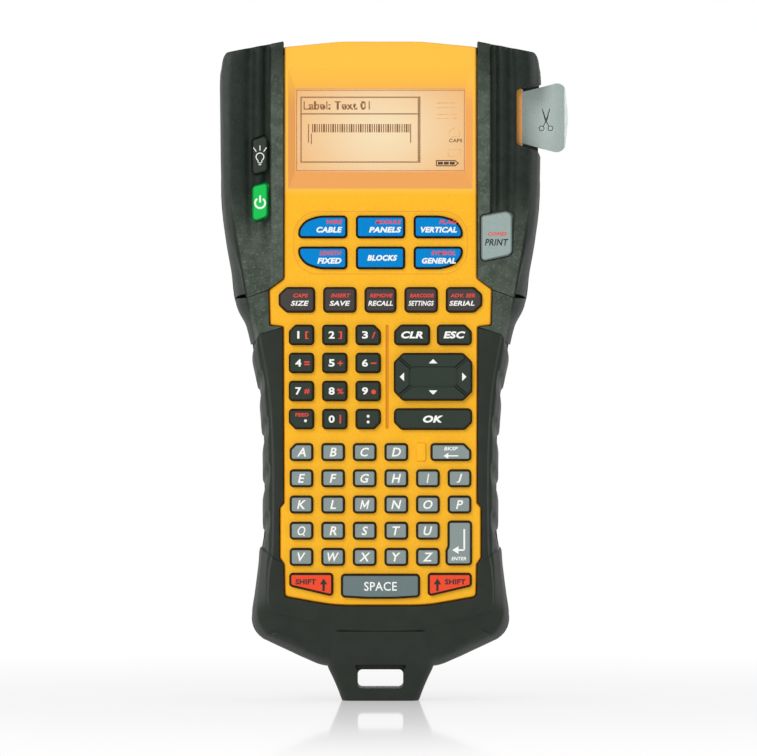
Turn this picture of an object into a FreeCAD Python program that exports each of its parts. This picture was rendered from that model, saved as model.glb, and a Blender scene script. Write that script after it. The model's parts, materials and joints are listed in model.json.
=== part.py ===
import FreeCAD, Part
import math
import os
import sys

import Sketcher
from FreeCAD import Placement, Rotation, Vector

sys.path.append(os.path.join(FreeCAD.getHomePath(), "Mod", "PartDesign"))
from fcgear import fcgear, involute

# A handheld label maker that stands on its strap tab. X is to the right, Y goes into the device from its
# face, and Z runs up along it. The origin is the centre of the tab's flat end.

DIMENSIONS = {
    # depths, along Y
    "rail_front": -26.2,
    "cover_front": -25.2,
    "cover_back": -22.8,
    "cover_thickness": 2.4,
    "tongue_thickness": 1.4,
    "split_plane": -8.0,
    "grip_back": 21.0,
    "head_back": 30.0,
    "shell_wall": 2.5,
    "tab_front": -11.0,
    "tab_back": 12.0,
    # outline, in X and Z
    "body_height": 230.4,
    "cover_half_width": 33.6,
    "seam_gap": 0.25,
    # keys
    "key_gap": 0.3,
    "key_travel": 1.0,
    "key_back": -20.9,
    "key_flange": 0.6,
    "flange_thickness": 1.2,
    "letter_width": 7.7,
    "letter_height": 5.7,
    "letter_pitch_x": 11.0,
    "letter_pitch_z": 9.13,
    "letter_bottom_z": 50.8,
    "letter_rise": 6.1,
    "number_width": 8.3,
    "number_height": 6.6,
    "number_pitch_x": 11.6,
    "number_pitch_z": 9.77,
    "number_left_x": -27.5,
    "number_bottom_z": 98.8,
    "number_rise": 6.3,
    "hot_width": 16.6,
    "hot_height": 7.4,
    "hot_pitch_x": 20.1,
    "hot_low_z": 154.9,
    "hot_high_z": 165.7,
    "hot_rise": 5.9,
    "function_height": 8.4,
    "function_z": 140.3,
    "function_rise": 6.0,
    "wide_key_rise": 6.2,
    "nav_rise": 6.7,
    "rail_button_back": -22.4,
    "rail_button_rise": 4.9,
    "key_edge": 0.85,
    "key_corner": 1.1,
    # display
    "window_half_width": 29.7,
    "window_bottom": 184.9,
    "window_top": 213.9,
    "lens_front": -24.1,
    "lens_thickness": 1.4,
    # print mechanism
    "gear_module": 0.8,
    "gear_width": 3.0,
    "gear_back": -6.5,
    "platen_x": 27.0,
    "platen_z": 196.0,
    "platen_radius": 6.2,
    "shaft_radius": 2.0,
    "running_gap": 0.05,
    "gear_clearance": 0.1,
    "chassis_back": -3.0,
    "chassis_thickness": 2.0,
    "motor_radius": 6.5,
    "motor_length": 19.0,
    # cutter
    "cutter_pin_radius": 1.5,
    "cutter_hub_radius": 3.4,
    # batteries
    "cell_radius": 7.1,
    "cell_length": 50.0,
    "cell_pitch": 15.0,
    "cell_y": 10.2,
    # screws
    "screw_radius": 1.5,
    "screw_head_radius": 2.9,
    "screw_head_height": 2.0,
}

PLATEN_TEETH, RIBBON_TEETH, PINION_TEETH = 36, 20, 16

doc = FreeCAD.newDocument("label_maker")
sheet = doc.addObject("Spreadsheet::Sheet", "sheet")
for row, (alias, number) in enumerate(DIMENSIONS.items(), 1):
    sheet.set(f"A{row}", alias)
    sheet.set(f"B{row}", str(number))
    sheet.setAlias(f"B{row}", alias)
doc.recompute()

NODES = {}


def size(alias):
    """A driving dimension, read from the sheet."""
    return float(sheet.get(alias))


def node(name, part):
    """Keeps a finished sub-part under the name that its file gets."""
    part.Label = name
    NODES[name] = part
    return part


# --- sketches, extrusions and booleans ---------------------------------------------------------------------

FACING_FRONT = Rotation(Vector(1, 0, 0), 90)
FACING_RIGHT = Rotation(Vector(0, 1, 0), Vector(0, 0, 1), Vector(1, 0, 0))
FACING_UP = Rotation()
OFFSET_AXIS = {"front": "y", "right": "x", "up": "z"}
FACING = {"front": FACING_FRONT, "right": FACING_RIGHT, "up": FACING_UP}


def sketch(name, geometry, plane, facing="front"):
    """A sketch of the given curves, on a plane at a distance that is a formula on the sheet."""
    made = doc.addObject("Sketcher::SketchObject", name)
    made.Placement = Placement(Vector(), FACING[facing])
    made.setExpression(f"Placement.Base.{OFFSET_AXIS[facing]}", plane)
    made.addGeometry(geometry, False)
    return made


def extrude(name, profile, length, back=None):
    """A solid that goes length along the sketch's normal, and back the other way."""
    made = doc.addObject("Part::Extrusion", name)
    made.Base = profile
    made.DirMode = "Normal"
    made.Solid = True
    made.setExpression("LengthFwd", length)
    if back:
        made.setExpression("LengthRev", back)
    return made


def cut(name, base, tool):
    made = doc.addObject("Part::Cut", name)
    made.Base, made.Tool = base, tool
    return made


def fuse(name, parts):
    made = doc.addObject("Part::MultiFuse", name)
    made.Shapes = parts
    return made


def common(name, first, second):
    made = doc.addObject("Part::Common", name)
    made.Base, made.Tool = first, second
    return made


def group(name, parts):
    """Several loose solids kept as one sub-part."""
    made = doc.addObject("Part::Compound", name)
    made.Links = parts
    return made


def box(name, low, high):
    """A box between two corners."""
    made = doc.addObject("Part::Box", name)
    made.Length, made.Width, made.Height = (b - a for a, b in zip(low, high))
    made.Placement.Base = Vector(*low)
    return made


def cylinder(name, radius, start, direction, height):
    """A round bar from start along an axis. Its radius and height are formulas on the sheet, or numbers."""
    made = doc.addObject("Part::Cylinder", name)
    made.Placement = Placement(Vector(*start), Rotation(Vector(0, 0, 1), Vector(*direction)))
    made.setExpression("Radius", str(radius))
    made.setExpression("Height", str(height))
    return made


def along_depth(name, radius, place, start, length):
    """A round bar that runs straight back from a depth, at a place (x, z) of the front."""
    return cylinder(name, radius, (place[0], start, place[1]), (0, 1, 0), length)


def upright(name, radius, place, low, height):
    """A round bar that runs straight up from a height, at a place (x, y)."""
    return cylinder(name, radius, (*place, low), (0, 0, 1), height)


def soften(name, base, radius, chosen):
    """Fillets the edges for which chosen(edge) is true."""
    doc.recompute()
    made = doc.addObject("Part::Fillet", name)
    made.Base = base
    picked = [i for i, edge in enumerate(base.Shape.Edges, 1) if chosen(edge)]
    made.Edges = [(i, radius, radius) for i in picked]
    return made


def lies_at(axis, place):
    """True for an edge whose two ends and middle are all at one place along an axis."""

    def chosen(edge):
        low = getattr(edge.BoundBox, axis + "Min")
        high = getattr(edge.BoundBox, axis + "Max")
        return abs(low - place) < 0.01 and abs(high - place) < 0.01

    return chosen


def rounded(corners):
    """Straight lines through the corners, each (x, y, radius), with an arc of that radius at each one."""
    joints = []
    for i, (x, y, radius) in enumerate(corners):
        here = Vector(x, y, 0)
        before = Vector(*corners[i - 1][:2], 0) - here
        after = Vector(*corners[(i + 1) % len(corners)][:2], 0) - here
        before.normalize()
        after.normalize()
        half = before.getAngle(after) / 2
        if radius <= 0:
            joints.append((here, here, here))
            continue
        reach = radius / math.tan(half)
        middle = (before + after).normalize() * (radius / math.sin(half) - radius)
        joints.append((here + before * reach, here + middle, here + after * reach))
    curves = []
    for i, (start, middle, end) in enumerate(joints):
        if (end - start).Length > 1e-6:
            curves.append(Part.Arc(start, middle, end))
        following = joints[(i + 1) % len(joints)][0]
        if (following - end).Length > 1e-6:
            curves.append(Part.LineSegment(end, following))
    return curves


def rounded_box_sketch(name, width, height, radius, place, plane):
    """A round-cornered rectangle whose width, height and radius are formulas on the sheet."""
    w, h = 4.0, 3.0
    corners = [(-w, -h, 0.5), (w, -h, 0.5), (w, h, 0.5), (-w, h, 0.5)]
    made = doc.addObject("Sketcher::SketchObject", name)
    made.Placement = Placement(Vector(place[0], 0, place[1]), FACING_FRONT)
    made.setExpression("Placement.Base.y", plane)
    made.addGeometry(rounded(corners), False)
    arcs, lines = range(0, 8, 2), range(1, 8, 2)
    made.addConstraint([Sketcher.Constraint("Tangent", a, 2, a + 1, 1) for a in arcs])
    made.addConstraint([Sketcher.Constraint("Tangent", a + 1, 2, (a + 2) % 8, 1) for a in arcs])
    made.addConstraint([Sketcher.Constraint("Horizontal", lines[i]) for i in (0, 2)])
    made.addConstraint([Sketcher.Constraint("Vertical", lines[i]) for i in (1, 3)])
    made.addConstraint([Sketcher.Constraint("Equal", 0, a) for a in (2, 4, 6)])
    made.addConstraint(Sketcher.Constraint("Symmetric", 0, 3, 4, 3, -1, 1))
    for label, kind, first, second, value, formula in (
        ("width", "DistanceX", (7, 1), (3, 1), 2 * w, width),
        ("height", "DistanceY", (1, 1), (5, 1), 2 * h, height),
    ):
        index = made.addConstraint(Sketcher.Constraint(kind, *first, *second, value))
        made.renameConstraint(index, label)
        made.setExpression(f"Constraints.{label}", formula)
    index = made.addConstraint(Sketcher.Constraint("Radius", 0, 0.5))
    made.renameConstraint(index, "radius")
    made.setExpression("Constraints.radius", radius)
    return made


def grown(name, profile, amount):
    """The outline of a sketch, moved outwards by a formula on the sheet."""
    made = doc.addObject("Part::Offset2D", name)
    made.Source = profile
    made.setExpression("Value", amount)
    return made


# --- outline of the whole body -----------------------------------------------------------------------------

# height, half width of the body at its widest, half width of its flat front
SIDE = [
    (216.0, 56.0, 53.6),
    (192.0, 55.6, 53.2),
    (178.0, 55.9, 52.4),
    (161.5, 54.2, 51.4),
    (148.0, 52.0, 49.6),
    (137.5, 50.0, 46.6),
    (131.5, 46.4, 43.6),
    (122.0, 44.5, 41.2),
    (108.0, 42.1, 38.4),
    (90.0, 40.8, 37.3),
    (70.0, 40.6, 37.1),
    (57.0, 41.0, 36.8),
    (50.0, 42.3, 37.8),
    (39.0, 43.5, 39.6),
]


def body_outline(front, inset=0.0):
    """The body's outline in X and Z: the widest one, or with front the smaller one of its flat front."""
    column = 2 if front else 1
    drop = inset + (1.2 if front else 0.0)
    side = [Vector(row[column] - inset, row[0], 0) for row in SIDE]
    top_z = size("body_height") - drop
    shoulder = Vector(side[0].x - 5.4, top_z - 3.2, 0)
    shoulder_middle = Vector(side[0].x - 1.5, top_z - 6.4, 0)
    side[0].y = top_z - 14.0
    if front:
        foot = [(40.6, 36.2), (37.5, 33.6), (27.0, 29.2), (18.0, 26.8)]
    else:
        foot = [(44.6, 26.0), (39.4, 21.0), (26.0, 14.8), (19.3, 12.3)]
        side.append(Vector(44.9 - inset, 31.0, 0))
    foot = [Vector(x - inset, z + inset, 0) for x, z in foot]

    def mirror(point):
        return Vector(-point.x, point.y, 0)

    right, left = Part.BSplineCurve(), Part.BSplineCurve()
    right.interpolate(side)
    left.interpolate([mirror(point) for point in reversed(side)])
    return [
        Part.Arc(mirror(shoulder), Vector(0, top_z, 0), shoulder),
        Part.Arc(shoulder, shoulder_middle, side[0]),
        right,
        Part.Arc(side[-1], foot[0], foot[1]),
        Part.LineSegment(foot[1], foot[2]),
        Part.LineSegment(foot[2], foot[3]),
        Part.LineSegment(foot[3], mirror(foot[3])),
        Part.LineSegment(mirror(foot[3]), mirror(foot[2])),
        Part.LineSegment(mirror(foot[2]), mirror(foot[1])),
        Part.Arc(mirror(foot[1]), mirror(foot[0]), mirror(side[-1])),
        left,
        Part.Arc(mirror(side[0]), mirror(shoulder_middle), mirror(shoulder)),
    ]


def front_half(name, inset):
    """The part of the body ahead of the split plane, with sides that slope in to its flat front."""
    made = doc.addObject("Part::Loft", name)
    back = sketch(name + "_back", body_outline(False, inset), "sheet.split_plane")
    depth = f"sheet.rail_front + {inset}"
    front = sketch(name + "_front", body_outline(True, inset), depth)
    made.Sections = [back, front]
    made.Solid = True
    made.Ruled = True
    return made


def back_half(name, inset):
    """The part of the body behind the split plane: thick at the head and slim at the grip."""
    wide = sketch(name + "_wide", body_outline(False, inset), "sheet.split_plane")
    block = extrude(name + "_block", wide, "0", back="45")
    grip, head, top = size("grip_back") - inset, size("head_back") - inset, size("body_height")
    start = size("split_plane") - 1
    profile = [
        (start, 5, 0),
        (13 - inset, 5, 0),
        (grip, 20, 14),
        (grip, 132, 20),
        (head, 148, 20),
        (head, top - inset, 8 - inset),
        (start, top - inset + 5, 0),
    ]
    side = sketch(name + "_side", rounded(profile), "-70", facing="right")
    return common(name, block, extrude(name + "_slab", side, "140"))


# --- front cover outline -----------------------------------------------------------------------------------


def cover_outline(growth=0.0):
    """The yellow cover's visible outline, a mirror image of itself about X = 0."""
    half = size("cover_half_width") + growth
    right = [
        (half - 0.3, 37.0 - growth, 1.6),
        (half - 0.1, 48.2, 0.6),
        (half + 1.4, 50.4, 0.6),
        (half + 1.4, 68.0, 0.6),
        (half, 69.6, 0.6),
        (half + 0.2, 130.9, 0.4),
        (half + 4.9, 131.5 - growth, 0.8),
        (half + 5.2, 144.0, 1.2),
        (half, 147.8, 1.2),
        (half - 0.2, 228.4 + growth, 0.5),
    ]
    left = [(-x, z, radius) for x, z, radius in reversed(right)]
    corners = right + [(14.0, 230.3 + growth, 60), (-14.0, 230.3 + growth, 60)] + left
    return rounded(corners + [(-16, 33.9 - growth, 60), (16, 33.9 - growth, 60)])


# --- keys --------------------------------------------------------------------------------------------------

OPENINGS = []
RAIL_OPENINGS = []
LETTER_ROWS = ["ABCD", "EFGHIJ", "KLMNOP", "QRSTU", "VWXYZ"]
ALL_CORNERS = [(-1, -1), (1, -1), (1, 1), (-1, 1)]
NAV_CENTRE = (18.3, 113.5)


def finish_key(name, profile, back, rise, openings, edge=None):
    """A key on the profile, with a flange behind its opening, and the opening itself."""
    edge = edge or size("key_edge")
    stem = extrude(name + "_stem", profile, "sheet." + rise)
    stem = soften(name + "_top", stem, edge, lies_at("Y", size(back) - size(rise)))
    wide = grown(name + "_wide", profile, "sheet.key_flange")
    flange = extrude(name + "_flange", wide, "sheet.flange_thickness")
    hole = grown(name + "_gap", profile, "sheet.key_gap")
    openings.append(extrude(name + "_hole", hole, "12", back="4"))
    return fuse(name, [stem, flange])


def plain_key(name, width, height, place, rise, radius="sheet.key_corner"):
    """A round-cornered rectangular key in the front cover."""
    profile = rounded_box_sketch(name + "_outline", width, height, radius, place, "sheet.key_back")
    return finish_key(name, profile, "key_back", rise, OPENINGS)


def shaped_key(name, corners, rise, back="key_back", openings=OPENINGS, edge=None):
    """A key whose outline is a list of corners, each (x, z, radius)."""
    profile = sketch(name + "_outline", rounded(corners), "sheet." + back)
    return finish_key(name, profile, back, rise, openings, edge)


def cropped_rectangle(centre, width, height, cropped, crop, radius=1.1):
    """Corners of a rectangle, some cut off: cropped has their signs, crop the cut's (x, z, radius)."""
    corners = []
    for sign_x, sign_z in ALL_CORNERS:
        x, z = centre[0] + sign_x * width / 2, centre[1] + sign_z * height / 2
        if (sign_x, sign_z) not in cropped:
            corners.append((x, z, radius))
            continue
        on_side = (x, z - sign_z * crop[1], crop[2])
        on_end = (x - sign_x * crop[0], z, crop[2])
        corners += [on_end, on_side] if sign_x * sign_z < 0 else [on_side, on_end]
    return corners


def letter_keys():
    """Five rows of letter keys. The first key has a cropped corner."""
    width, height = size("letter_width"), size("letter_height")
    for i, letters in enumerate(LETTER_ROWS):
        keys = []
        z = size("letter_bottom_z") + (len(LETTER_ROWS) - 1 - i) * size("letter_pitch_z")
        for column, letter in enumerate(letters):
            name, x = f"letter_{letter.lower()}", (column - 2.5) * size("letter_pitch_x")
            if letter == "A":
                corners = cropped_rectangle((x, z), width, height, [(-1, 1)], (1.9, 1.9, 1.0))
                keys.append(shaped_key(name, corners, "letter_rise"))
            else:
                wide, high = "sheet.letter_width", "sheet.letter_height"
                keys.append(plain_key(name, wide, high, (x, z), "letter_rise"))
        node(f"letter_keys_row_{i + 1}", group(f"letter_row_{i + 1}", keys))


def number_keys():
    """Three columns of four number keys. The four at the corners of the block are cropped."""
    width, height = size("number_width"), size("number_height")
    cropped = {(0, 0): (-1, 1), (0, 2): (1, 1), (3, 0): (-1, -1), (3, 2): (1, -1)}
    for column in range(3):
        keys = []
        x = size("number_left_x") + column * size("number_pitch_x")
        for i in range(4):
            name = f"number_{3 * i + column + 1}"
            z = size("number_bottom_z") + (3 - i) * size("number_pitch_z")
            if (i, column) in cropped:
                corner = [cropped[i, column]]
                corners = cropped_rectangle((x, z), width, height, corner, (2.1, 2.1, 1.0))
                keys.append(shaped_key(name, corners, "number_rise"))
            else:
                wide, high = "sheet.number_width", "sheet.number_height"
                keys.append(plain_key(name, wide, high, (x, z), "number_rise"))
        node(f"number_keys_column_{column + 1}", group(f"number_column_{column + 1}", keys))


def swept_corner(centre, width, height, side, end):
    """Corners of a hot key, one of which, on the given side and end, is a long curve instead."""
    x, z = centre[0] + side * width / 2, centre[1] + end * height / 2
    sweep = [(7.0, 0.0, 12.0), (2.2, 1.6, 6.0), (0.0, 4.6, 4.2)]
    curve = [(x - side * inwards, z - end * down, radius) for inwards, down, radius in sweep]
    far_x, far_z, radius = x - side * width, z - end * height, 1.2
    corners = curve + [(x, far_z, radius), (far_x, far_z, radius), (far_x, z, radius)]
    return corners if side * end < 0 else corners[::-1]


def hot_keys():
    """Six large keys in two rows. The outer four have one long curved corner each."""
    width, height = size("hot_width"), size("hot_height")
    for i, z in enumerate((size("hot_high_z"), size("hot_low_z"))):
        for column in (-1, 0, 1):
            name, place = f"hot_key_{3 * i + column + 2}", (column * size("hot_pitch_x"), z)
            if column:
                corners = swept_corner(place, width, height, column, 1 - 2 * i)
                key = shaped_key(name, corners, "hot_rise")
            else:
                key = plain_key(name, "sheet.hot_width", "sheet.hot_height", place, "hot_rise")
            node(name, key)


def function_keys():
    """A row of five keys, wider towards its ends, where the outer corners are cropped."""
    height, z = size("function_height"), size("function_z")
    places = [(-29.1, 12.2), (-14.15, 11.1), (0, 10.6), (14.15, 11.1), (29.1, 12.2)]
    for i, (x, width) in enumerate(places, 1):
        name = f"function_key_{i}"
        if i in (1, 5):
            side = 1 if x > 0 else -1
            corner = [(side, 1), (side, -1)]
            corners = cropped_rectangle((x, z), width, height, corner, (2.6, 2.4, 1.4), 1.3)
            key = shaped_key(name, corners, "function_rise")
        else:
            key = plain_key(name, str(width), "sheet.function_height", (x, z), "function_rise", "1.3")
        node(name, key)


def control_keys():
    """The clear, escape and OK keys, and the four-way pad between them."""
    top_z = size("number_bottom_z") + 3 * size("number_pitch_z")
    clear = cropped_rectangle((11.0, top_z), 12.0, 6.7, [(-1, 1)], (2.2, 2.2, 1.0), 1.2)
    node("clear_key", shaped_key("clear_key", clear, "wide_key_rise"))
    escape = cropped_rectangle((25.7, top_z), 11.6, 6.7, [(1, 1)], (2.2, 2.2, 1.0), 1.2)
    node("escape_key", shaped_key("escape_key", escape, "wide_key_rise"))
    place = (NAV_CENTRE[0], size("number_bottom_z"))
    confirm = cropped_rectangle(place, 26.7, 7.0, [(-1, -1), (1, -1)], (2.4, 2.4, 1.0), 1.4)
    node("ok_key", shaped_key("ok_key", confirm, "wide_key_rise"))
    pad = cropped_rectangle(NAV_CENTRE, 26.8, 16.1, ALL_CORNERS, (3.0, 3.0, 1.2))
    pad = shaped_key("nav_blank", pad, "nav_rise", edge=0.8)
    node("nav_pad", cut("nav_pad", pad, nav_recess()))


def nav_recess():
    """What is cut from the pad's face: a flat middle, and a groove out to each of its corners."""
    top = size("key_back") - size("nav_rise")
    depth, groove_radius = 0.55, 0.6
    middle = cropped_rectangle(NAV_CENTRE, 17.0, 7.4, ALL_CORNERS, (1.6, 1.6, 0.5))
    dish = extrude("nav_dish", sketch("nav_dish_outline", rounded(middle), str(top + depth)), "3")
    grooves = []
    for i, (sign_x, sign_z) in enumerate(ALL_CORNERS):
        start = Vector(NAV_CENTRE[0] + sign_x * 7.6, top, NAV_CENTRE[1] + sign_z * 2.9)
        end = Vector(NAV_CENTRE[0] + sign_x * 12.4, top, NAV_CENTRE[1] + sign_z * 7.0)
        grooves.append(cylinder(f"nav_groove_{i}", groove_radius, start, end - start, (end - start).Length))
    return fuse("nav_cuts", [dish] + grooves)


def edit_keys():
    """Backspace, enter, the two shift keys and the space bar, in rows with the letters."""
    top_z = size("letter_bottom_z") + 4 * size("letter_pitch_z")
    back = cropped_rectangle((24.5, top_z), 13.7, size("letter_height"), [(1, 1)], (2.3, 2.3, 1.0))
    node("backspace_key", shaped_key("backspace_key", back, "letter_rise"))
    right, left, foot, low, step, high = 31.6, 23.6, 22.9, 48.1, 53.8, 63.2
    enter = [(foot, low, 1.1), (right, low, 1.1), (right, high, 1.1), (left, high, 1.1)]
    enter += [(left, step + 0.8, 1.0), (foot, step - 0.8, 1.0)]
    node("enter_key", shaped_key("enter_key", enter, "letter_rise"))
    shift = [(16.7, 37.3, 1.0), (31.5, 40.8, 1.0), (31.5, 45.0, 1.0), (16.7, 45.0, 1.0)]
    node("right_shift_key", shaped_key("right_shift_key", shift, "wide_key_rise"))
    shift = [(-x, z, radius) for x, z, radius in reversed(shift)]
    node("left_shift_key", shaped_key("left_shift_key", shift, "wide_key_rise"))
    space = [(13.5, 37.0, 1.2), (13.5, 44.7, 1.2), (-13.5, 44.7, 1.2), (-13.5, 37.0, 1.2), (-5, 36.5, 20)]
    space.append((5, 36.5, 20))
    node("space_key", shaped_key("space_key", space, "wide_key_rise"))


def rail_buttons():
    """The backlight and power buttons on the left rail, and the print button on the right one."""
    light = [(-44.5, 183.6, 1.2), (-39.4, 185.2, 1.2), (-39.4, 197.7, 1.2), (-44.5, 196.0, 1.2)]
    power = [(-44.6, 167.2, 1.4), (-39.2, 169.2, 1.8), (-39.2, 181.3, 1.2), (-44.6, 179.9, 1.6)]
    label = [(35.0, 153.6, 1.4), (45.8, 156.0, 2.2), (45.8, 171.6, 2.4), (35.0, 169.6, 1.2)]
    for name, corners in (("backlight_button", light), ("power_button", power), ("print_button", label)):
        node(name, shaped_key(name, corners, "rail_button_rise", "rail_button_back", RAIL_OPENINGS))


# --- shells ------------------------------------------------------------------------------------------------

# x, z and the depth of the back surface at each screw, and which shell it holds
SCREWS = [(-50.0, 208.0, 30.0), (50.3, 176.0, 30.0), (-46.0, 147.0, 27.8), (46.0, 147.0, 27.8)]
SCREWS += [(-36.0, 31.0, 21.0), (36.0, 31.0, 21.0), (0.0, 223.9, 28.0)]
SCREW_FRONT = -14.0
SCREW_HOLE = "sheet.screw_radius + 0.1"
BOARD_POSTS = [(11.3, 92.75), (-11.3, 147.8), (11.3, 147.8)]
TONGUE_TOP = 225.5
CASSETTE_HINGE = (-42.6, 27.9)
BATTERY_HINGE = (18.9, 25.4)


def rectangle(low_x, low_z, high_x, high_z, radius):
    """Corners of a rectangle, each (x, z, radius)."""
    corners = [(low_x, low_z), (high_x, low_z), (high_x, high_z), (low_x, high_z)]
    return [(x, z, radius) for x, z in corners]


def front_cover():
    """The yellow plate: its visible face, a tongue tucked under the rails, and every opening."""
    back = size("cover_back")
    outline = sketch("cover_outline", cover_outline(), "sheet.cover_back")
    face = extrude("cover_face", outline, "sheet.cover_thickness")
    face = soften("cover_edge", face, 0.7, lies_at("Y", size("cover_front")))
    wing = box("cutter_wing", (32.4, back, 191.5), (49.3, back + size("tongue_thickness"), 216.5))
    screw = SCREWS[-1][:2]
    boss = along_depth("cover_boss", 2.6, screw, back, size("split_plane") - back)
    posts = []
    for i, place in enumerate(BOARD_POSTS):
        posts.append(along_depth(f"post_{i}", 1.8, place, back, 4.1))
        posts.append(along_depth(f"post_tip_{i}", 1.1, place, back, 8.9))
    plate = fuse("cover_plate", [face, cover_tongue(), wing, boss] + posts)
    plate = cut("cover_with_funnel", plate, display_funnel())
    half, low, high = size("window_half_width"), size("window_bottom"), size("window_top")
    window = rounded(rectangle(-half, low, half, high, 0.6))
    window = sketch("window_outline", window, "sheet.cover_front - 1")
    window = extrude("window_hole", window, "0", back="4")
    hole = along_depth("cover_boss_hole", SCREW_HOLE, screw, SCREW_FRONT - 1, 20)
    plate = cut("cover_cut", plate, group("cover_openings", [window, hole] + OPENINGS))
    divider = rounded_box_sketch("divider_outline", "1.1", "36.2", "0.5", (2.35, 113.5), "sheet.cover_front")
    node("front_cover", cut("front_cover", plate, extrude("divider", divider, "1", back="0.5")))


def cover_tongue():
    """The rim behind the cover's edge that the rails hold down, with a gap for the print button."""
    wider = sketch("tongue_outline", cover_outline(1.6), "sheet.cover_back")
    tongue = extrude("tongue_blank", wider, "0", back="sheet.tongue_thickness")
    inner = sketch("tongue_inside_outline", cover_outline(-1.2), "sheet.cover_back - 1")
    inside = extrude("tongue_inside", inner, "0", back="5")
    top = box("tongue_top", (-60, -30, TONGUE_TOP), (60, 0, 240))
    button = box("tongue_gap", (33.7, -30, 152.6), (40, 0, 172.6))
    return cut("cover_tongue", tongue, group("tongue_cuts", [inside, top, button]))


def display_funnel():
    """The sloping surround that leads down to the display window."""
    half, low, high = size("window_half_width"), size("window_bottom"), size("window_top")
    inner = rectangle(-half, low, half, high, 0)
    outer = rectangle(-half - 2.6, low - 6.2, half + 2.6, high + 7.5, 0)
    funnel = doc.addObject("Part::Loft", "display_funnel")
    funnel.Sections = [
        sketch("funnel_inner", rounded(inner), "sheet.lens_front"),
        sketch("funnel_outer", rounded(outer), "sheet.cover_front - 0.01"),
    ]
    funnel.Solid = True
    funnel.Ruled = True
    return funnel


def front_shells():
    """The dark rails beside the display and the boot round the grip, cut from one hollow front half."""
    outer = front_half("front_block", 0.0)
    outer = soften("front_edge", outer, 1.6, lies_at("Y", size("rail_front")))
    shell = cut("front_shell", outer, front_half("front_hollow", size("shell_wall")))
    pins = [upright(f"pin_boss_{i}", 3.2, CUTTER_AXIS, z, 4) for i, z in enumerate((184.8, 223.0))]
    pins += [box(f"pin_rib_{i}", (45.5, -25, z), (47.5, -9, z + 3)) for i, z in enumerate((185, 223.2))]
    bosses = []
    for i, (x, z, _) in enumerate(SCREWS[:-1]):
        bosses.append(along_depth(f"front_boss_{i}", 3.2, (x, z), -24, size("split_plane") + 24))
    added = fuse("front_additions", pins + bosses + [pocket_wall("front_wall")])
    added = common("inside_front", added, outer)
    shell = fuse("shell_with_bosses", [shell, added])
    shell = cut("framed_shell", shell, group("front_cuts", [cover_space()] + RAIL_OPENINGS))
    holes = [upright("pin_hole", "sheet.cutter_pin_radius", CUTTER_AXIS, 186, 40), hub_room("hub_room_1")]
    for i, (x, z, _) in enumerate(SCREWS[:-1]):
        holes.append(along_depth(f"front_hole_{i}", SCREW_HOLE, (x, z), SCREW_FRONT - 1, 30))
    shell = cut("drilled_shell", shell, group("front_holes", holes))
    seam_z = 131.6
    node("left_rail", common("left_rail", shell, box("upper_left", (-80, -40, seam_z), (0, 0, 240))))
    right = common("right_half", shell, box("upper_right", (0, -40, seam_z), (80, 0, 240)))
    node("right_rail", cut("right_rail", right, lever_pocket("front_pocket")))
    lower = box("lower_region", (-80, -40, -1), (80, 0, seam_z - size("seam_gap")))
    node("lower_boot", fuse("lower_boot", [common("boot_shell", shell, lower), strap_tab()]))


def cover_space():
    """The room that the front cover and its tongue take up in the rails."""
    gap = size("seam_gap")
    back = size("cover_back")
    visible = extrude("cover_room", sketch("room_outline", cover_outline(gap), "sheet.cover_back"), "20")
    wider = sketch("tongue_room_outline", cover_outline(1.6 + gap), "sheet.cover_back - 0.15")
    behind = extrude("tongue_room_blank", wider, "0", back="sheet.tongue_thickness + 0.3")
    below_top = box("tongue_room_limit", (-60, -30, 30), (60, 0, TONGUE_TOP + gap))
    behind = common("tongue_room", behind, below_top)
    wing = box("wing_room", (30, back - 0.2, 191.2), (49.6, back + 1.7, 216.8))
    return fuse("cover_space", [visible, behind, wing])


def strap_tab():
    """The tab that the device stands on, with its strap slot."""
    tab = [(19.3, 16.0, 2), (13.2, 0, 1.0), (-13.2, 0, 1.0), (-19.3, 16.0, 2)]
    tab = sketch("tab_outline", rounded(tab), "sheet.tab_back")
    tab = extrude("tab_block", tab, "sheet.tab_back - sheet.tab_front")
    slot = rounded_box_sketch("slot_outline", "16", "6.8", "1.6", (0, 7.7), "20")
    tab = cut("tab_with_slot", tab, extrude("strap_slot", slot, "40"))
    return cut("tab_trimmed", tab, back_half("tab_room", -size("seam_gap")))


def pocket_corners():
    """Outline of the lever's pocket, each corner (x, z, radius). It runs out past the body's side."""
    lower = [(47.4, 193.4, 1.2), (61, 183.5, 0), (75, 183.5, 0)]
    upper = [(75, 224.5, 0), (61, 222.0, 0), (47.4, 216.4, 1.2)]
    return lower + upper


def lever_pocket(name):
    """The space beside the head where the cutter lever swings."""
    return extrude(name, sketch(name + "_outline", rounded(pocket_corners()), "6"), "45")


def pocket_wall(name):
    """A solid a little larger than the lever's pocket, which leaves a wall round it."""
    outline = sketch(name + "_outline", rounded(pocket_corners()), "7.5")
    return extrude(name, grown(name + "_grown", outline, "1.6"), "45")


def hub_room(name):
    """The opening in the pocket's wall that the lever's hub turns in."""
    return upright(name, "sheet.cutter_hub_radius + 0.4", CUTTER_AXIS, 189.0, 33.7)


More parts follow.
